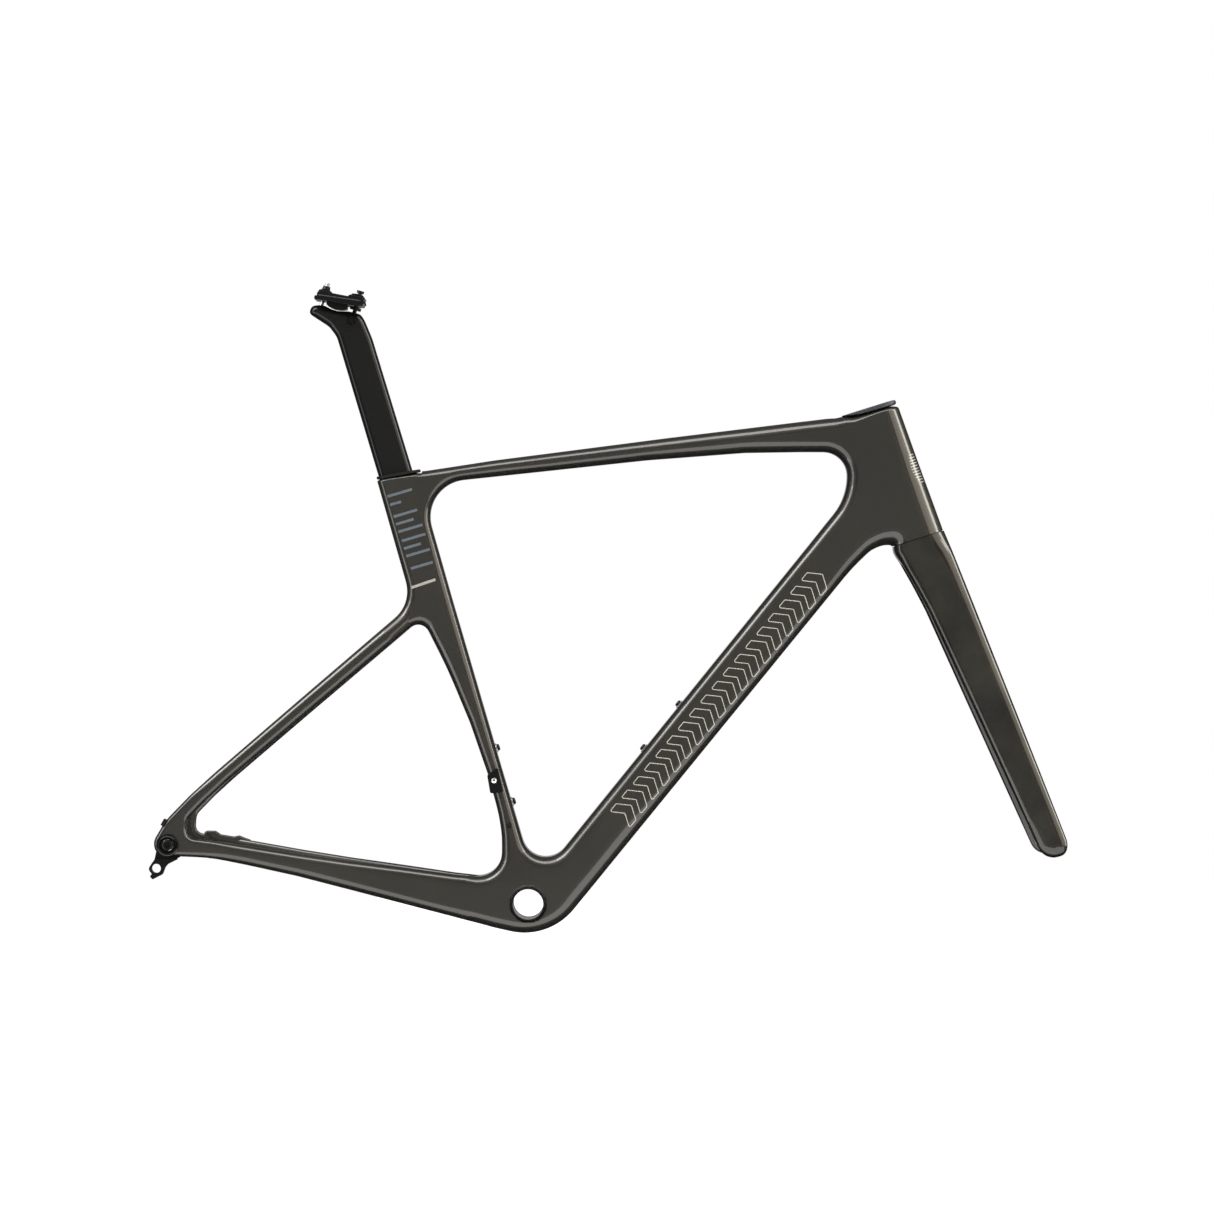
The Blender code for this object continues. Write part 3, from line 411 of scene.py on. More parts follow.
# Places (x, z) with the half width, the edge's radius and the flank's corner there, in millimetres.
FRAME_WIDTHS = [
    (-150, 470, 19.3, 9, 12), (-60, 490, 17.0, 12, 12), (60, 508, 16.3, 15, 13), (180, 520, 17.3, 15.5, 14),
    (290, 530, 18.5, 16, 15), (345, 525, 21.0, 14, 15), (385, 545, 23.5, 16, 18), (408, 525, 24.3, 21, 20),
    (428, 480, 25.5, 23, 22), (448, 430, 27.0, 23, 23), (370, 475, 23.5, 14, 15), (370, 420, 24.0, 16, 15),
    (300, 350, 24.5, 14, 14), (220, 240, 25.5, 14, 14), (140, 140, 26.5, 14, 14), (80, 65, 28.0, 14, 14),
    (0, 0, 32.5, 14, 14), (30, 5, 31.5, 15, 14), (78, 8, 30.5, 26, 15), (125, 62, 28.5, 24, 15),
    (178, 128, 26.8, 18, 14), (-35, 5, 31.5, 13, 13), (-20, 90, 26.0, 11, 12),
    (-40, 150, 22.0, 10, 12), (-60, 210, 21.0, 10, 12), (-85, 270, 20.0, 12, 12), (-115, 350, 18.8, 12, 12),
    (-135, 410, 19.0, 10, 12), (-150, 455, 19.3, 9, 12), (-120, 10, 30.0, 11, 12), (-200, 35, 30.0, 11, 12),
    (-300, 57, 28.0, 10, 12), (-250, 228, 20.0, 12, 12), (-320, 165, 20.0, 11, 12), (-400, 80, 25.0, 6, 12)]

# Rear edge of the seat tube and bottom bracket, behind which the stays part: x at heights z.
PARTING_Z = [-0.050, 0.031, 0.060, 0.077, 0.101, 0.1465, 0.2055, 0.2675, 0.3050, 0.3585, 0.4805]
PARTING_X = [-0.050, -0.050, -0.042, -0.036, -0.0385, -0.0510, -0.0715, -0.0975, -0.1165, -0.1426, -0.1780]

# Stays' outer and inner faces: the chainstays' by x, the seatstays' by the distance down them.
CHAINSTAY_X = [-0.4200, -0.3540, -0.3380, -0.3165, -0.2605, -0.2035, -0.1465, -0.0830, -0.0578]
CHAINSTAY_OUT = [0.0803, 0.0803, 0.0790, 0.0750, 0.0636, 0.0522, 0.0425, 0.0345, 0.0320]
CHAINSTAY_IN = [0.0711, 0.0711, 0.0670, 0.0610, 0.0484, 0.0358, 0.0252, 0.0175, 0.0155]
SEATSTAY_TOP = np.array((-0.1280, 0.3340))
SEATSTAY_DOWN = np.array((-0.7555, -0.6551))
SEATSTAY_AT = [0.000, 0.0103, 0.0243, 0.0463, 0.1656, 0.2885, 0.3224, 0.4000]
SEATSTAY_OUT = [0.0190, 0.0210, 0.0260, 0.0338, 0.0550, 0.0757, 0.0803, 0.0803]
SEATSTAY_IN = [-0.0060, 0.0043, 0.0100, 0.0182, 0.0410, 0.0633, 0.0711, 0.0711]
STAYS_MEET = (0.085, 0.150)          # heights between which the chainstays' faces give way to the seatstays'
PARTING_BLEND = 0.012                # distance over which the stays part from the tubes
WIDTH_REACH = 0.030                  # how far a place's widths spread


def frame_field():
    field = Field((-0.440, -0.060), (0.505, 0.620), soft=2 * MM)
    x, z = field.x, field.z
    half, radius, corner = spread(x, z, FRAME_WIDTHS, WIDTH_REACH)
    radius = blurred(radius, BLUR_WIDTH)
    outer = signed_distance(x, z, rounded(FRAME_OUTLINE))
    field.edge(outer, radius)
    field.edge(-signed_distance(x, z, rounded(MAIN_HOLE)), radius)
    field.edge(-signed_distance(x, z, rounded(REAR_HOLE)), radius)
    top = np.interp(x, *zip(*HEAD_TOP))
    sharp = smoothstep(*HEAD_SHARP, x)
    field.edge((top - z) * HEAD_TOP_LEAN, (1 - sharp) * radius + sharp * HEAD_TOP_R)
    collar = COLLAR_FOOT[1] + (x - COLLAR_FOOT[0]) * math.tan(COLLAR_LEAN)   # the seat collar's lower face
    field.edge(np.where(x < COLLAR_FRONT, (collar - z) * math.cos(COLLAR_LEAN), 1.0),
               np.interp(x, (COLLAR_SHARP_FROM, COLLAR_FRONT), (COLLAR_REAR_R, COLLAR_FRONT_R)), 1)
    field.edge(np.hypot(x, z) - BORE_R, 1.2 * MM, 0)
    field.edge(np.hypot(x - REAR_AXLE[0], z - REAR_AXLE[1]) - AXLE_HOLE_R, 0.8 * MM, 0)

    down = (x - SEATSTAY_TOP[0]) * SEATSTAY_DOWN[0] + (z - SEATSTAY_TOP[1]) * SEATSTAY_DOWN[1]
    upper = smoothstep(*STAYS_MEET, z)
    behind = smoothstep(0, PARTING_BLEND, np.interp(z, PARTING_Z, PARTING_X) - x)
    flanks = []
    for side, chainstay, seatstay in ((1, CHAINSTAY_OUT, SEATSTAY_OUT), (-1, CHAINSTAY_IN, SEATSTAY_IN)):
        stay = (1 - upper) * np.interp(x, CHAINSTAY_X, chainstay) + upper * np.interp(down, SEATSTAY_AT, seatstay)
        flanks.append(side * (1 - behind) * half + behind * stay)
    field.widths(*flanks, corner)
    return field


def make_frame(material):
    field = frame_field()

    def by_seam(p):
        from_foot = np.array((p.x, p.z)) - STEER_FOOT
        return from_foot @ STEER_UP < 0.02 and from_foot @ STEER_AHEAD > -0.060

    seam = space(steer(SEAM_GAP, 0))
    obj = shell("frame_monocoque", field, material, [(seam, space(-STEER_UP), by_seam)])
    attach(obj, "frame")
    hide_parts("head_tube", "top_tube", "down_tube", "seat_tube", "bottom_bracket_shell",
                "right_chainstay", "left_chainstay", "right_seatstay", "left_seatstay",
                "right_dropout", "left_dropout")
    return field


# ---------------------------------------------------------------- the fork's field

# Distances along the steering axis with the front and rear edges' places ahead of it.
FORK_REAR_S = [-0.400, -0.378, -0.280, -0.180, -0.0804, -0.0500, -0.0228, -0.0068, 0.0016, 0.0400]
FORK_REAR_F = [0.0195, 0.0175, 0.0061, -0.0055, -0.0171, -0.0225, -0.0283, -0.0332, -0.0311, -0.0311]
FORK_WIDTH_S = [-0.400, -0.378, -0.345, -0.280, -0.180, -0.0804, -0.0500, -0.0360, -0.0160, -0.0080,
                0.0400]
FORK_OUT = [0.0622, 0.0622, 0.0616, 0.0585, 0.0498, 0.0398, 0.0354, 0.0332, 0.0300, 0.0287, 0.0268]
FORK_ARCH_S = [-0.400, -0.378, -0.345, -0.280, -0.180, -0.0804, -0.0500, -0.0340, -0.0270, -0.0215,
               -0.0180, -0.0140, 0.0400]
FORK_IN = [0.0504, 0.0504, 0.0496, 0.0445, 0.0342, 0.0224, 0.0187, 0.0170, 0.0140, 0.0000, -0.0200,
           -0.0300, -0.0300]
FORK_FRONT_FOOT = (-0.00063, 0.0291)      # a point of the front edge, and how the edge leans from the axis
FORK_FRONT_SLOPE = -0.0571
FORK_TIP = -0.3905
FORK_TIP_R = 0.0175
CROWN_BOTTOM = -0.014                     # above it the fork is one solid crown


def fork_field():
    field = Field((0.370, 0.035), (0.640, 0.470), soft=1.5 * MM)
    x, z = field.x - STEER_FOOT[0], field.z - STEER_FOOT[1]
    along = x * STEER_UP[0] + z * STEER_UP[1]
    ahead = x * STEER_AHEAD[0] + z * STEER_AHEAD[1]
    front = FORK_FRONT_FOOT[1] + FORK_FRONT_SLOPE * (along - FORK_FRONT_FOOT[0])
    rear = np.interp(along, FORK_REAR_S, FORK_REAR_F)
    front_r = np.interp(along, [FORK_TIP, -0.34, -0.10, -0.045, 0.0], [0.0125, 0.0110, 0.0125, 0.0155, 0.023])
    rear_r = np.interp(along, [FORK_TIP, -0.34, -0.10, -0.02], [0.0170, 0.0095, 0.0095, 0.0110])
    field.edge(front - ahead, front_r)
    field.edge(ahead - rear, rear_r, 8)
    field.edge(along - FORK_TIP, FORK_TIP_R)
    outer = np.interp(along, FORK_WIDTH_S, FORK_OUT)
    inner = np.interp(along, FORK_ARCH_S, FORK_IN)
    inner = np.where(along > CROWN_BOTTOM, -outer, inner)
    corner = np.interp(along, [-0.040, -0.024, 0.004], [0.0100, 0.0108, 0.021])
    field.widths(outer, inner, corner, 8)
    return field


def make_fork(material):
    seam = space(steer(-SEAM_GAP, 0))
    obj = shell("fork_monocoque", fork_field(), material, [(seam, space(STEER_UP), lambda p: p.z > 0.38)])
    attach(obj, "fork")
    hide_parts("fork_crown", "right_fork_blade", "left_fork_blade")


# ---------------------------------------------------------------- the seatpost's field

TILT_CENTRE = (-0.21248, 0.70035)
CRADLE_R = 26.4 * MM                 # hollow in the head that the lower cradle tilts in
POST_FOOT = -0.100                   # the shell's lower end, hidden in the seat tube
POST_EDGE_R, POST_CORNER = 8.5 * MM, 9.5 * MM


def post_field():
    field = Field((-0.290, 0.370), (-0.090, 0.700))
    x, z = field.x, field.z
    outline = [seat(POST_FOOT, -POST_HALF_CHORD) + (0.001,), seat(POST_FOOT, POST_HALF_CHORD) + (0.001,),
               (-0.1778, 0.6425, 0.060), (-0.1862, 0.6625, 0.003), (-0.1905, 0.6695, 0.003),
               (-0.1960, 0.6713, 0.004), (-0.2362, 0.6806, 0.004), (-0.2462, 0.6796, 0.004),
               (-0.2502, 0.6710, 0.004), (-0.2265, 0.6556, 0.020), (-0.2180, 0.6440, 0.020)]
    field.edge(signed_distance(x, z, rounded(outline)), POST_EDGE_R, 2)
    field.edge(np.hypot(x - TILT_CENTRE[0], z - TILT_CENTRE[1]) - CRADLE_R, 1.5 * MM, 0)
    half = np.interp(z, [0.64, 0.675], [0.0125, 0.0130])
    field.widths(half, -half, np.full(x.shape, POST_CORNER), 4)
    return field


def make_post(material):
    obj = shell("seatpost_shell", post_field(), material)
    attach(obj, "seatpost")
    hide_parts("seatpost")


# ---------------------------------------------------------------- small solids

def solid(name, points, faces, material, sharp=32):
    """A closed mesh as an object, its faces turned outward."""
    data = bpy.data.meshes.new(name)
    data.from_pydata([tuple(p) for p in points], [], faces)
    mesh = bmesh.new()
    mesh.from_mesh(data)
    bmesh.ops.recalc_face_normals(mesh, faces=mesh.faces)
    mesh.to_mesh(data)
    mesh.free()
    data.shade_smooth()
    data.set_sharp_from_angle(angle=math.radians(sharp))
    data.materials.append(material)
    obj = bpy.data.objects.new(name, data)
    bpy.context.scene.collection.objects.link(obj)
    return obj


def fit(obj, body, slot, *replaced):
    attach(obj, body)
    if replaced:
        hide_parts(*replaced)
    return obj


def joined(count, size, first, hollow):
    """Quads between neighbouring rings of points.

    The ends are capped, or for a hollow ring the last ring is joined to the first.
    """
    faces = []
    for k in range(count if hollow else count - 1):
        here, there = first + k * size, first + (k + 1) % count * size
        faces += [(here + j, here + (j + 1) % size, there + (j + 1) % size, there + j) for j in range(size)]
    if not hollow:
        last = first + (count - 1) * size
        faces += [tuple(range(start, start + size)) for start in (first, last)]
    return faces


def lathe(name, foot, axis, profile, material, hollow=False, segments=48):
    """A profile of (radius, along), in millimetres, turned about an axis."""
    axis = Vector(axis).normalized()
    first = axis.orthogonal().normalized()
    second = axis.cross(first)
    points = []
    for radius, along in profile:
        for k in range(segments):
            turn = 2 * math.pi * k / segments
            spoke = first * math.cos(turn) + second * math.sin(turn)
            points.append(Vector(foot) + (axis * along + spoke * radius) * MM)
    return solid(name, points, joined(len(profile), segments, 0, hollow), material)


def inset(outline, amount):
    """A closed anticlockwise outline moved inward."""
    before = outline - np.roll(outline, 1, axis=0)
    after = np.roll(outline, -1, axis=0) - outline
    before /= np.linalg.norm(before, axis=1, keepdims=True)
    after /= np.linalg.norm(after, axis=1, keepdims=True)
    inward = np.stack([-before[:, 1] - after[:, 1], before[:, 0] + after[:, 0]], axis=1)
    return outline + inward / np.maximum((inward ** 2).sum(axis=1, keepdims=True), 0.8) * 2 * amount


def plate(name, corners, near, far, rim, material):
    """A side outline of corners in millimetres, carried across from y = near to far, its rims rounded."""
    outline = rounded([tuple(v * MM for v in corner) for corner in corners], 12)
    area = (outline[:, 0] * np.roll(outline[:, 1], -1) - outline[:, 1] * np.roll(outline[:, 0], -1)).sum()
    if area < 0:
        outline = outline[::-1]
    quarter = np.radians((0, 30, 60, 90))
    steps = [(rim * (1 - math.sin(a)), rim * (1 - math.cos(a))) for a in quarter]
    stations = [(near + y, cut) for cut, y in steps] + [(far - y, cut) for cut, y in reversed(steps)]
    points = [space(p, y * MM) for y, cut in stations for p in inset(outline, cut * MM)]
    return solid(name, points, joined(len(stations), len(outline), 0, False), material)


# ---------------------------------------------------------------- fittings

COVER_SPACING = 1.0 * MM


def make_top_cover(made):
    """Wedge that covers the top of the head tube, round in front and tapering back."""
    field = Field((0.345, 0.545), (0.430, 0.582), cell=0.5 * MM, spacing=COVER_SPACING)
    x, z = field.x, field.z
    outline = [(0.3530, 0.5532, 0.0004), (0.3625, 0.5534, 0.002), (0.3765, 0.5550, 0.010), (0.4182, 0.5668, 0.0008),
               (0.4194, 0.5700, 0.0015), (0.4165, 0.5730, 0.0015)]
    field.edge(signed_distance(x, z, rounded(outline)), 0.9 * MM, 1)
    field.edge((0.4196 - x) + 0.27 * (z - 0.570), 21 * MM, 1)
    half = np.interp(x, [0.350, 0.385, 0.419], [0.0150, 0.0215, 0.0226])
    field.widths(half, -half, np.full(x.shape, 20 * MM), 4)
    fit(shell("headset_cover", field, made["cover"]), "frame", "rubber_black", "headset_top_cover")


SEAL_SIDES = 64
SEAL_MIDDLE, SEAL_HALF_LENGTH, SEAL_HALF_WIDTH = -1.0, 28.6, 25.2
SEAL_STATIONS = ((-0.9, 0.97), (-0.5, 1.0), (0.5, 1.0), (0.9, 0.97))   # along the axis, share of the full size


def make_crown_seal(made):
    """Dark oval seal in the gap between the head tube and the fork's crown."""
    points = []
    for along, share in SEAL_STATIONS:
        for k in range(SEAL_SIDES):
            turn = 2 * math.pi * k / SEAL_SIDES
            ahead = SEAL_MIDDLE + SEAL_HALF_LENGTH * share * math.cos(turn)
            points.append(space(steer(along * MM, ahead * MM), SEAL_HALF_WIDTH * share * math.sin(turn) * MM))
    faces = joined(len(SEAL_STATIONS), SEAL_SIDES, 0, False)
    fit(solid("crown_seal", points, faces, made["rubber_black"]), "fork", "rubber_black")


def make_bottom_bracket(made):
    """Thin sleeve through the bottom bracket with a dark rim on each side."""
    sleeve = [(17.6, -33.6), (18.2, -33.6), (18.2, 33.6), (17.6, 33.6)]
    obj = lathe("bb_sleeve", (0, 0, 0), ACROSS, sleeve, made["silver_alloy"], True, 96)
    fit(obj, "frame", "silver_alloy", "bb_threaded_sleeve")
    for side, name in ((-1, "right_bb_rim"), (1, "left_bb_rim")):
        rim = [(17.2, 32.2), (18.6, 32.2), (19.4, 32.6), (19.4, 33.5), (19.0, 34.0), (17.7, 34.0), (17.2, 33.5)]
        obj = lathe(name, (0, 0, 0), ACROSS * side, rim, made["black_alloy"], True, 96)
        fit(obj, "frame", "black_alloy", "bb_threaded_sleeve")


DERAILLEUR_SCREW = (-0.0387, -0.0267, 0.1401)
CROSS_NUT = (-0.2013, 0, 0.6620)


def make_screws(made):
    """Bright socket screw of the front derailleur mount, and the grooved caps of the saddle clamp's cross nut."""
    socket = [(0.9, -1.0), (1.3, 1.6), (2.2, 2.2), (3.0, 1.8), (3.3, 1.0), (3.3, -1.0)]
    obj = lathe("front_derailleur_socket", DERAILLEUR_SCREW, -ACROSS, socket, made["silver_alloy"], True, 32)
    fit(obj, "frame", "steel", "front_derailleur_screw")
    cap = [(0.01, 12.6), (1.3, 12.6), (1.5, 13.3), (3.4, 13.5), (3.7, 13.1), (4.4, 13.1), (4.7, 13.5),
           (5.3, 13.4), (5.5, 13.1)]
    profile = cap + [(r, -h) for r, h in reversed(cap)]
    obj = lathe("cross_nut_caps", CROSS_NUT, -ACROSS, profile, made["black_alloy"])
    fit(obj, "seatpost", "black_alloy", "clamp_cross_nut")


CLAMP_CHEEK = [
    (-240.9, 689.2, 1.2), (-236.4, 695.4, 1.6), (-231.0, 696.4, 1.6), (-223.1, 693.0, 3.0), (-204.5, 689.4, 1.5),
    (-202.2, 691.2, 1.2), (-187.6, 688.2, 1.6), (-185.4, 681.4, 1.6), (-189.5, 678.5, 1.6), (-196.0, 678.0, 3.0),
    (-236.4, 685.4, 2.0)]
# A thin raised strip along each clamp side plate, drawn in the lighter headset-cover grey as a painted highlight: it
# stands in for the light line along the plate's edge.
CLAMP_HIGHLIGHT_RIDGE = [(-238.0, 690.2, 0.4), (-237.6, 691.4, 0.4), (-190.0, 684.6, 0.4), (-190.2, 683.4, 0.4)]
CLAMP_SIDES = [("plate", CLAMP_CHEEK, 25.6, 28.0, 0.9, "black_alloy"),
               ("ridge", CLAMP_HIGHLIGHT_RIDGE, 27.2, 28.35, 0.3, "cover")]
CLAMP_YOKES = {
    "rear": [(-240.6, 691.6, 1.0), (-237.0, 697.0, 1.6), (-229.0, 698.6, 1.6), (-222.8, 694.2, 1.2),
             (-224.0, 690.6, 1.0)],
    "front": [(-202.4, 688.4, 1.0), (-200.0, 692.6, 1.4), (-194.0, 692.2, 1.4), (-187.6, 690.4, 1.4),
              (-185.2, 686.4, 1.2), (-186.6, 684.6, 1.0)]}


def make_clamp(made):
    """Long side plates of the saddle clamp, with the yokes that hold the rails down between them."""
    for side, name in ((-1, "right_clamp_"), (1, "left_clamp_")):
        for kind, corners, inner, outer, rim, look in CLAMP_SIDES:
            near, far = sorted((side * inner, side * outer))
            fit(plate(name + kind, corners, near, far, rim, made[look]), "saddle_clamp", "black_alloy")
    for end, corners in CLAMP_YOKES.items():
        yoke = plate(end + "_saddle_yoke", corners, -25.0, 25.0, 1.0, made["black_alloy"])
        fit(yoke, "saddle_clamp", "black_alloy", end + "_rail_clamp")


def make_hanger_nut(made):
    """Glossy ring nut that holds the derailleur hanger round the rear axle."""
    ring = [(9.5, 74.4), (12.5, 74.4), (12.5, 82.0), (12.0, 82.9), (11.1, 83.2), (10.5, 82.5), (9.5, 82.3)]
    obj = lathe("hanger_ring_nut", space(REAR_AXLE), -ACROSS, ring, made["gloss_black"], True, 64)
    fit(obj, "frame", "black_alloy", "hanger_nut")


def make_brake_boss(made):
    """Low moulded boss on the left chainstay for the rear brake."""
    corners = [(-375, 66, 2), (-321, 60, 2), (-320, 68.6, 3), (-328, 71.4, 3), (-334, 73.9, 2.5), (-340, 72.6, 3),
               (-355, 75.0, 4), (-361, 79.2, 4), (-374, 79.4, 4)]
    boss = plate("rear_brake_boss", corners, 67.4, 79.2, 2.0, made["frame"])
    fit(boss, "frame", "painted_carbon", "rear_brake_mount")


def make_grommet(made):
    """Small plug where the rear cable leaves the drive-side stay."""
    middle, along = np.array((-409.4, 94.6)), polar(60)
    out = np.array((-along[1], along[0]))
    places = ((-4.6, -2.5), (4.6, -2.5), (4.2, 1.6), (-4.2, 1.6))
    corners = [tuple(middle + along * a + out * b) + (1.0,) for a, b in places]
    plug = plate("rear_cable_plug", corners, -80.0, -74.4, 0.8, made["rubber_black"])
    fit(plug, "frame", "rubber_black", "rear_cable_grommet")


def make_fittings(made):
    make_top_cover(made)
    make_crown_seal(made)
    make_bottom_bracket(made)
    make_screws(made)
    make_clamp(made)
    make_hanger_nut(made)
    make_brake_boss(made)
    make_grommet(made)


# ---------------------------------------------------------------- marks

MARK_LIFT, MARK_SINK = 0.12 * MM, 0.4 * MM       # a strip's top above its shell and its bottom below

# Millimetres from here on: the chevrons' row, the seat tube's bars and the head tube's ticks.
CHEVRONS, CHEVRON_PITCH, CHEVRON_START = 18, 20, 17
CHEVRON = [(0, -14.5), (11.5, -14.5), (21, 0), (11.5, 14.5), (0, 14.5), (9.5, 0)]
CHEVRON_FOOT, CHEVRON_ANGLE = (92.8, 82.6), 50.4
BARS = [(-26, -16, 13), (-36, -16, -3), (-50, -16, 12), (-59, -16, 5), (-68, -16, 13), (-79, -15, 13),
        (-88, -15, 5), (-97, -15, 13), (-112, -14, 12)]          # down the seat tube, rear end, front end
BRIGHT_BAR = [(-132.6, 358.8), (-105.4, 368.0)]
BAR_WIDTH = 3.0
TICKS, TICK_PITCH, TICK_START, TICK_FRONT = 11, 3.3, 60, 24.4
TICK_LENGTH, TICK_SHORTENING = 8.5, 0.14
HEAD_TAPER = 0.057                                               # how fast the head tube's front edge closes in


def resampled(path, closed, step=1.6):
    """A path in millimetres with points at most a step apart, its own points kept."""
    ends = np.vstack([path, path[:1]]) if closed else path
    points = []
    for a, b in zip(ends, ends[1:]):
        count = max(1, math.ceil(np.linalg.norm(b - a) / step))
        points += [a + (b - a) * k / count for k in range(count)]
    return np.array(points if closed else points + [ends[-1]])


class Marks:
    """Thin strips laid on both flanks of a shell."""

    def __init__(self, field):
        self.field, self.points, self.faces = field, [], []

    def strip(self, path, width, closed=False):
        """A path in millimetres of the side plane, drawn with a line of the given width."""
        path, width = resampled(np.array(path), closed) * MM, width * MM
        after = np.roll(path, -1, axis=0) - path
        before = path - np.roll(path, 1, axis=0)
        if not closed:
            after[-1], before[0] = before[-1], after[0]
        after /= np.linalg.norm(after, axis=1, keepdims=True)
        before /= np.linalg.norm(before, axis=1, keepdims=True)
        along = after + before
        along /= np.linalg.norm(along, axis=1, keepdims=True)
        across = np.stack([-along[:, 1], along[:, 0]], axis=1) * width / 2
        edges = [path + across, path - across]
        for side in (-1, 1):
            first = len(self.points)
            out = [self.field.surface_y(e[:, 0], e[:, 1]) for e in edges]
            for k in range(len(path)):
                for edge, lift in ((0, MARK_LIFT), (1, MARK_LIFT), (1, -MARK_SINK), (0, -MARK_SINK)):
                    self.points.append(space(edges[edge][k], side * (out[edge][k] + lift)))
            self.faces += joined(len(path), 4, first, closed)

    def make(self, name, material):
        return fit(solid(name, self.points, self.faces, material), "frame", "painted_carbon")


def down_tube_marks(field, made):
    """Row of thin outlined chevrons along the down tube."""
    marks = Marks(field)
    foot, along = np.array(CHEVRON_FOOT), polar(CHEVRON_ANGLE)
    out = np.array((-along[1], along[0]))
    for k in range(CHEVRONS):
        start = CHEVRON_START + CHEVRON_PITCH * k
        outline = rounded([tuple(foot + along * (start + a) + out * b) + (1.6,) for a, b in CHEVRON], 15)
        marks.strip(outline, 0.9, True)
    marks.make("down_tube_marks", made["decal_silver"])


def seat_tube_marks(field, made):
    """Blue-grey bars across the seat tube, with one bright bar below them."""
    marks = Marks(field)
    for along, rear, front in BARS:
        marks.strip([np.array(seat(along * MM, a * MM)) / MM for a in (rear, front)], BAR_WIDTH)
    marks.make("seat_tube_bars", made["decal_blue"])
    bright = Marks(field)
    bright.strip(BRIGHT_BAR, BAR_WIDTH)
    bright.make("seat_tube_bright_bar", made["decal_bright"])


def head_tube_marks(field, made):
    """Short bright ticks down the front edge of the head tube."""
    marks = Marks(field)
    for k in range(TICKS):
        up = TICK_PITCH * k
        length = TICK_LENGTH - TICK_SHORTENING * (k - TICKS // 2) ** 2
        foot = np.array(steer((TICK_START + up) * MM, (TICK_FRONT - HEAD_TAPER * up - length) * MM)) / MM
        marks.strip([foot, foot + STEER_AHEAD * length], 1.0)
    marks.make("head_tube_ticks", made["decal_bright"])


def make_marks(field, made):
    down_tube_marks(field, made)
    seat_tube_marks(field, made)
    head_tube_marks(field, made)


# ---------------------------------------------------------------- materials

GRAIN_DEPTH = 0.2 * MM


class Nodes:
    """A material's node tree, in a few words."""

    def __init__(self, name):
        self.material = bpy.data.materials.new(name)
        self.material.use_nodes = True
        self.tree = self.material.node_tree
        self.shader = self.tree.nodes["Principled BSDF"]

    def add(self, kind, inputs=(), **settings):
        node = self.tree.nodes.new("ShaderNode" + kind)
        for key, value in settings.items():
            setattr(node, key, value)
        for key, value in dict(inputs).items():
            if isinstance(value, bpy.types.NodeSocket):
                self.tree.links.new(value, node.inputs[key])
            else:
                node.inputs[key].default_value = value
        return node

    def set(self, **values):
        for key, value in values.items():
            socket = self.shader.inputs[key.replace("_", " ")]
            if isinstance(value, bpy.types.NodeSocket):
                self.tree.links.new(value, socket)
            else:
                socket.default_value = value

    def place(self):
        return self.add("TexCoord").outputs["Object"]

    def noise(self, scale, detail=2.0, rough=0.5):
        inputs = {"Vector": self.place(), "Scale": scale, "Detail": detail, "Roughness": rough}
        return self.add("TexNoise", inputs).outputs["Fac"]

    def mapped(self, value, low, high):
        return self.add("MapRange", {"Value": value, "To Min": low, "To Max": high}).outputs["Result"]

    def ramp(self, factor, stops):
        node = self.add("ValToRGB", {"Fac": factor})
        for k, (at, colour) in enumerate(stops):
            stop = node.color_ramp.elements[k] if k < 2 else node.color_ramp.elements.new(at)
            stop.position, stop.color = at, (*colour, 1)
        return node.outputs["Color"]

    def bump(self, height, strength, distance):
        node = self.add("Bump", {"Height": height, "Strength": strength, "Distance": distance})
        return node.outputs["Normal"]


def grey(level, warm=0.0):
    """Grey of a level, drawn towards brown by a warmth."""
    return (level * (1 + warm), level, level * (1 - 2.2 * warm))


def paint(name, dark, light, warm, patch):
    """Gloss paint with fine metal flake under a clear coat."""
    n = Nodes(name)
    patches = n.noise(patch, 3.0, 0.55)
    flake = n.add("TexVoronoi", {"Vector": n.place(), "Scale": 2600.0}).outputs["Distance"]
    tone = n.ramp(patches, [(0.30, grey(dark, warm)), (0.75, grey(light, warm))])
    sparkle = n.ramp(flake, [(0.0, grey(1.35, 0.03)), (0.55, grey(0.95, 0.0))])
    mixed = n.add("Mix", data_type="RGBA", blend_type="MULTIPLY")
    n.tree.links.new(tone, mixed.inputs[6])
    n.tree.links.new(sparkle, mixed.inputs[7])
    mixed.inputs[0].default_value = 1.0
    n.set(Base_Color=mixed.outputs[2], Roughness=n.mapped(patches, 0.40, 0.47), Metallic=0.85, Coat_Weight=0.9,
          Coat_Roughness=0.02)
    return n.material


def metal(name, colour, roughness, metallic, grain=600.0, strength=0.08, specular=0.5):
    """Metal, rubber or printed ink with a fine grain in its colour, gloss and relief."""
    n = Nodes(name)
    fine = n.noise(grain, 3.0, 0.6)
    tone = n.ramp(fine, [(0.3, tuple(c * 0.85 for c in colour)), (0.7, tuple(c * 1.12 for c in colour))])
    n.set(Base_Color=tone, Roughness=n.mapped(fine, roughness * 0.85, roughness * 1.2), Metallic=metallic,
          Normal=n.bump(fine, strength, GRAIN_DEPTH), Specular_IOR_Level=specular)
    return n.material


def gloss_carbon():
    """Black woven carbon under a thin clear coat."""
    n = Nodes("gloss_black_carbon")
    weave = n.add("TexWave", {"Vector": n.place(), "Scale": 420.0, "Distortion": 1.2, "Detail": 2.0}).outputs["Fac"]
    tone = n.ramp(weave, [(0.2, grey(0.0030)), (0.8, grey(0.0050))])
    n.set(Base_Color=tone, Roughness=0.32, Specular_IOR_Level=0.1, Coat_Weight=0.35, Coat_Roughness=0.03)
    return n.material


def pale_floor():
    n = Nodes("pale_floor")
    tone = n.ramp(n.noise(1.5), [(0.3, grey(0.86)), (0.7, grey(0.90))])
    n.set(Base_Color=tone, Roughness=0.9, Emission_Color=tone, Emission_Strength=0.9)
    return n.material


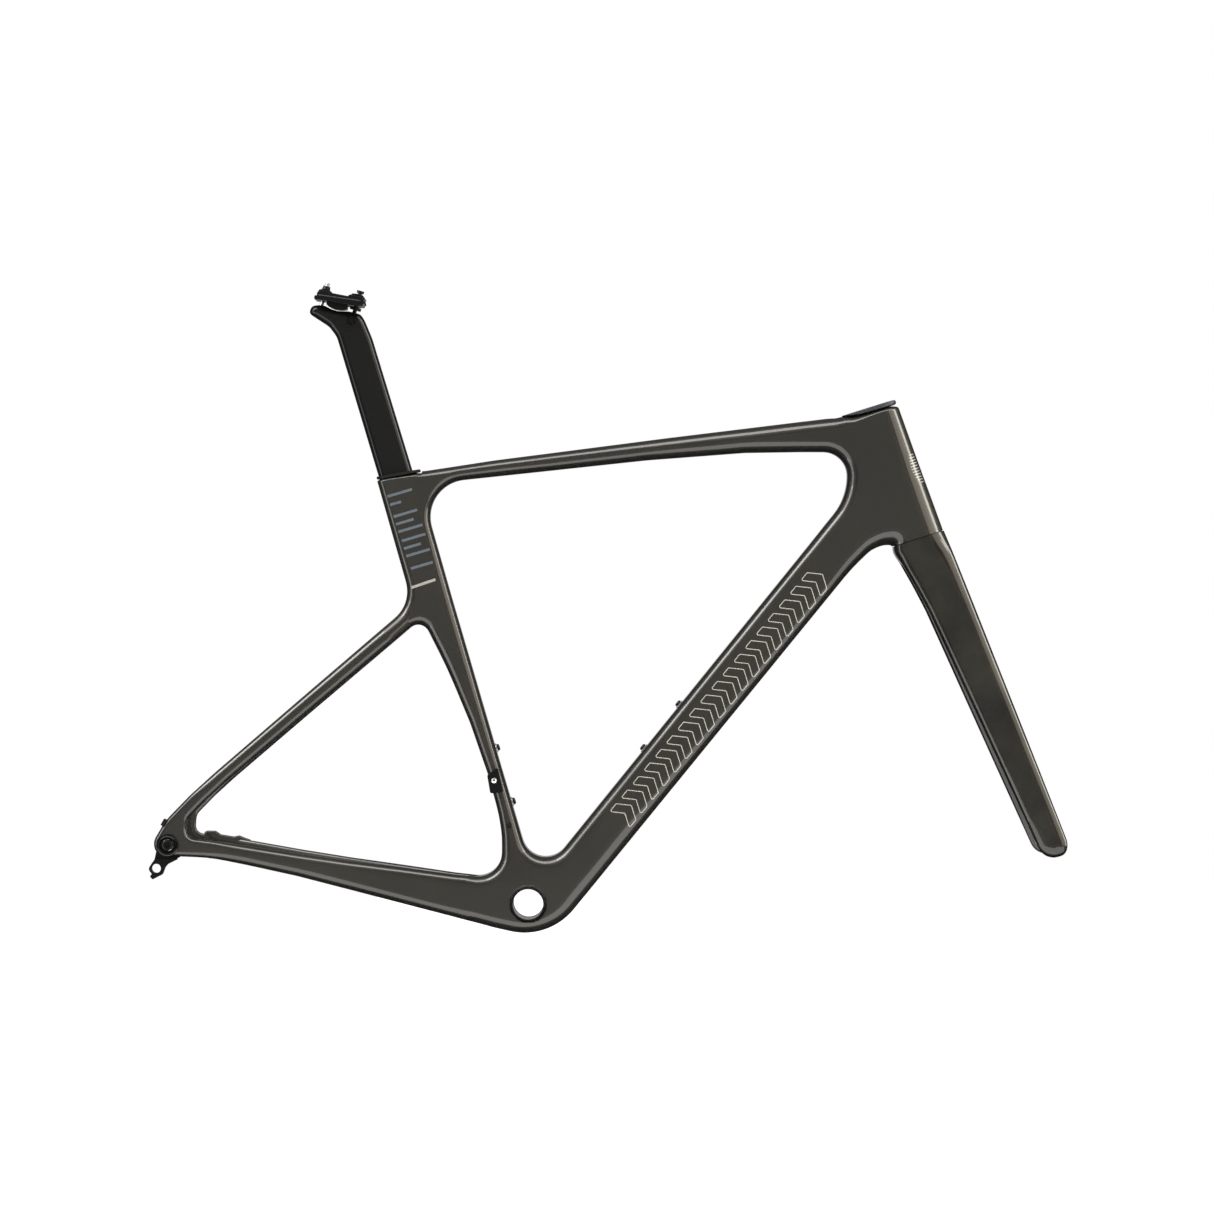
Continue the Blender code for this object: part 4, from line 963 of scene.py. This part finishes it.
def make_materials():
    """Materials by the record's slot names, with a few more for single pieces."""
    return {
        "frame": paint("olive_black_paint", 0.032, 0.039, 0.06, 9.0),
        "fork": paint("fork_paint", 0.010, 0.034, 0.09, 17.0),
        "black_carbon": gloss_carbon(),
        "black_alloy": metal("black_anodised", grey(0.0055), 0.26, 0.4, specular=0.25),
        "gloss_black": metal("gloss_black_ring", grey(0.003), 0.10, 0.0, strength=0.02),
        "silver_alloy": metal("silver_alloy_brushed", (0.62, 0.62, 0.63), 0.30, 1.0),
        "steel": metal("ground_steel", (0.47, 0.47, 0.49), 0.26, 1.0),
        "rubber_black": metal("black_rubber", grey(0.006), 0.60, 0.0, 900.0, 0.2, specular=0.15),
        "cover": metal("headset_cover_grey", (0.034, 0.037, 0.042), 0.36, 0.3),
        "decal_silver": metal("decal_silver", (0.33, 0.32, 0.28), 0.35, 0.1),
        "decal_blue": metal("decal_blue_grey", (0.073, 0.088, 0.104), 0.40, 0.1),
        "decal_bright": metal("decal_bright", (0.27, 0.265, 0.24), 0.35, 0.2),
        "floor": pale_floor()}


def dress_cad_nodes(made):
    """Better finishes for the CAD nodes that stay, by the record's material slot."""
    for node, obj in frame["nodes"].items():
        for slot in obj.material_slots:
            name = slot.material.name.split(".")[0] if slot.material else ""
            if node == "front_clamp_bolt":
                name = "black_alloy"
            if name in made:
                slot.material = made[name]


# ---------------------------------------------------------------- studio

CAMERA = (0.0894, -6.5, 0.3368)
LENS = 169.3
MIDDLE = (0.09, 0.0, 0.33)
FLOOR_Z, FLOOR_R = -0.45, 9.0
BACKGROUND, DIFFUSE_AMBIENT, GLOSS_AMBIENT = 1.0, 0.55, 0.03

# Name, clock angle, tilt, distance, size, brightness and tint of each panel.
LIGHTS = [
    ("front_fill", 0, 4, 6.2, (6.4, 5.0), 0.33, (1.0, 0.97, 0.88)),
    ("top_strip", 0, 71, 2.9, (7.0, 1.10), 5.0, (1, 1, 1)),
    ("upper_left_strip", -48, 70, 3.3, (3.0, 1.05), 5.0, (1, 1, 1)),
    ("right_panel", 73, 67, 3.2, (3.0, 3.3), 1.6, (1.0, 0.93, 0.81)),
    ("right_strip", 73, 88, 3.0, (3.0, 0.80), 6.0, (1.0, 0.98, 0.93)),
    ("left_panel", -98, 72, 3.2, (3.0, 0.95), 2.6, (1, 1, 1)),
    ("low_panel", 180, 43, 2.6, (8.0, 1.9), 1.9, (1, 1, 1)),
    ("back_fill", 0, 176, 6.2, (5.0, 3.0), 0.30, (1, 1, 1)),
    ("back_top", 0, 128, 4.0, (6.0, 1.2), 0.15, (1, 1, 1))]


def soft_light(name, clock, tilt, distance, size, brightness, tint):
    """A panel seen from the frame, tilted from the camera's direction towards a clock angle.

    The angle is 0 upward and 90 to the front. The size runs round the camera's direction first, then away from it.
    """
    clock, tilt = math.radians(clock), math.radians(tilt)
    away = Vector((math.sin(clock) * math.sin(tilt), -math.cos(tilt), math.cos(clock) * math.sin(tilt)))
    around = Vector((math.cos(clock), 0, -math.sin(clock)))
    data = bpy.data.lights.new(name, "AREA")
    data.shape = "RECTANGLE"
    data.size, data.size_y = size
    data.energy = 4 * size[0] * size[1] * brightness
    data.color = tint
    obj = bpy.data.objects.new(name, data)
    turn = Matrix((around, away.cross(around), away)).transposed()
    obj.matrix_world = Matrix.Translation(Vector(MIDDLE) + away * distance) @ turn.to_4x4()
    obj.visible_camera = False
    bpy.context.scene.collection.objects.link(obj)


def make_world():
    """White behind everything, with a soft ambient on diffuse surfaces and very little in reflections."""
    world = bpy.data.worlds.new("studio")
    world.use_nodes = True
    tree = world.node_tree
    background = tree.nodes["Background"].inputs
    path = tree.nodes.new("ShaderNodeLightPath")
    ambient, seen = (tree.nodes.new("ShaderNodeMix") for _ in range(2))
    ambient.inputs[2].default_value, ambient.inputs[3].default_value = GLOSS_AMBIENT, DIFFUSE_AMBIENT
    tree.links.new(path.outputs["Is Diffuse Ray"], ambient.inputs[0])
    tree.links.new(path.outputs["Is Camera Ray"], seen.inputs[0])
    tree.links.new(ambient.outputs[0], seen.inputs[2])
    seen.inputs[3].default_value = BACKGROUND
    tree.links.new(seen.outputs[0], background["Strength"])
    background["Color"].default_value = (1, 1, 1, 1)
    bpy.context.scene.world = world


def make_camera():
    data = bpy.data.cameras.new("camera")
    data.lens, data.clip_end = LENS, 100
    obj = bpy.data.objects.new("camera", data)
    obj.location = CAMERA
    obj.rotation_euler = (math.radians(90), 0, 0)
    bpy.context.scene.collection.objects.link(obj)
    bpy.context.scene.camera = obj


def make_floor(material):
    mesh = bmesh.new()
    bmesh.ops.create_circle(mesh, cap_ends=True, segments=96, radius=FLOOR_R)
    data = bpy.data.meshes.new("floor")
    mesh.to_mesh(data)
    mesh.free()
    data.materials.append(material)
    floor = bpy.data.objects.new("floor", data)
    floor.location = (MIDDLE[0], 0, FLOOR_Z)
    floor.visible_glossy = False
    bpy.context.scene.collection.objects.link(floor)


def make_studio(made):
    bpy.context.scene.view_settings.view_transform = "Standard"
    make_world()
    make_camera()
    for light in LIGHTS:
        soft_light(*light)
    make_floor(made["floor"])


# ---------------------------------------------------------------- main


def main():
    for obj in list(bpy.data.objects):
        if obj.type in ("CAMERA", "LIGHT"):
            bpy.data.objects.remove(obj)
    made = make_materials()
    make_studio(made)
    dress_cad_nodes(made)
    field = make_frame(made["frame"])
    make_fork(made["fork"])
    make_post(made["black_carbon"])
    make_fittings(made)
    make_marks(field, made)


main()
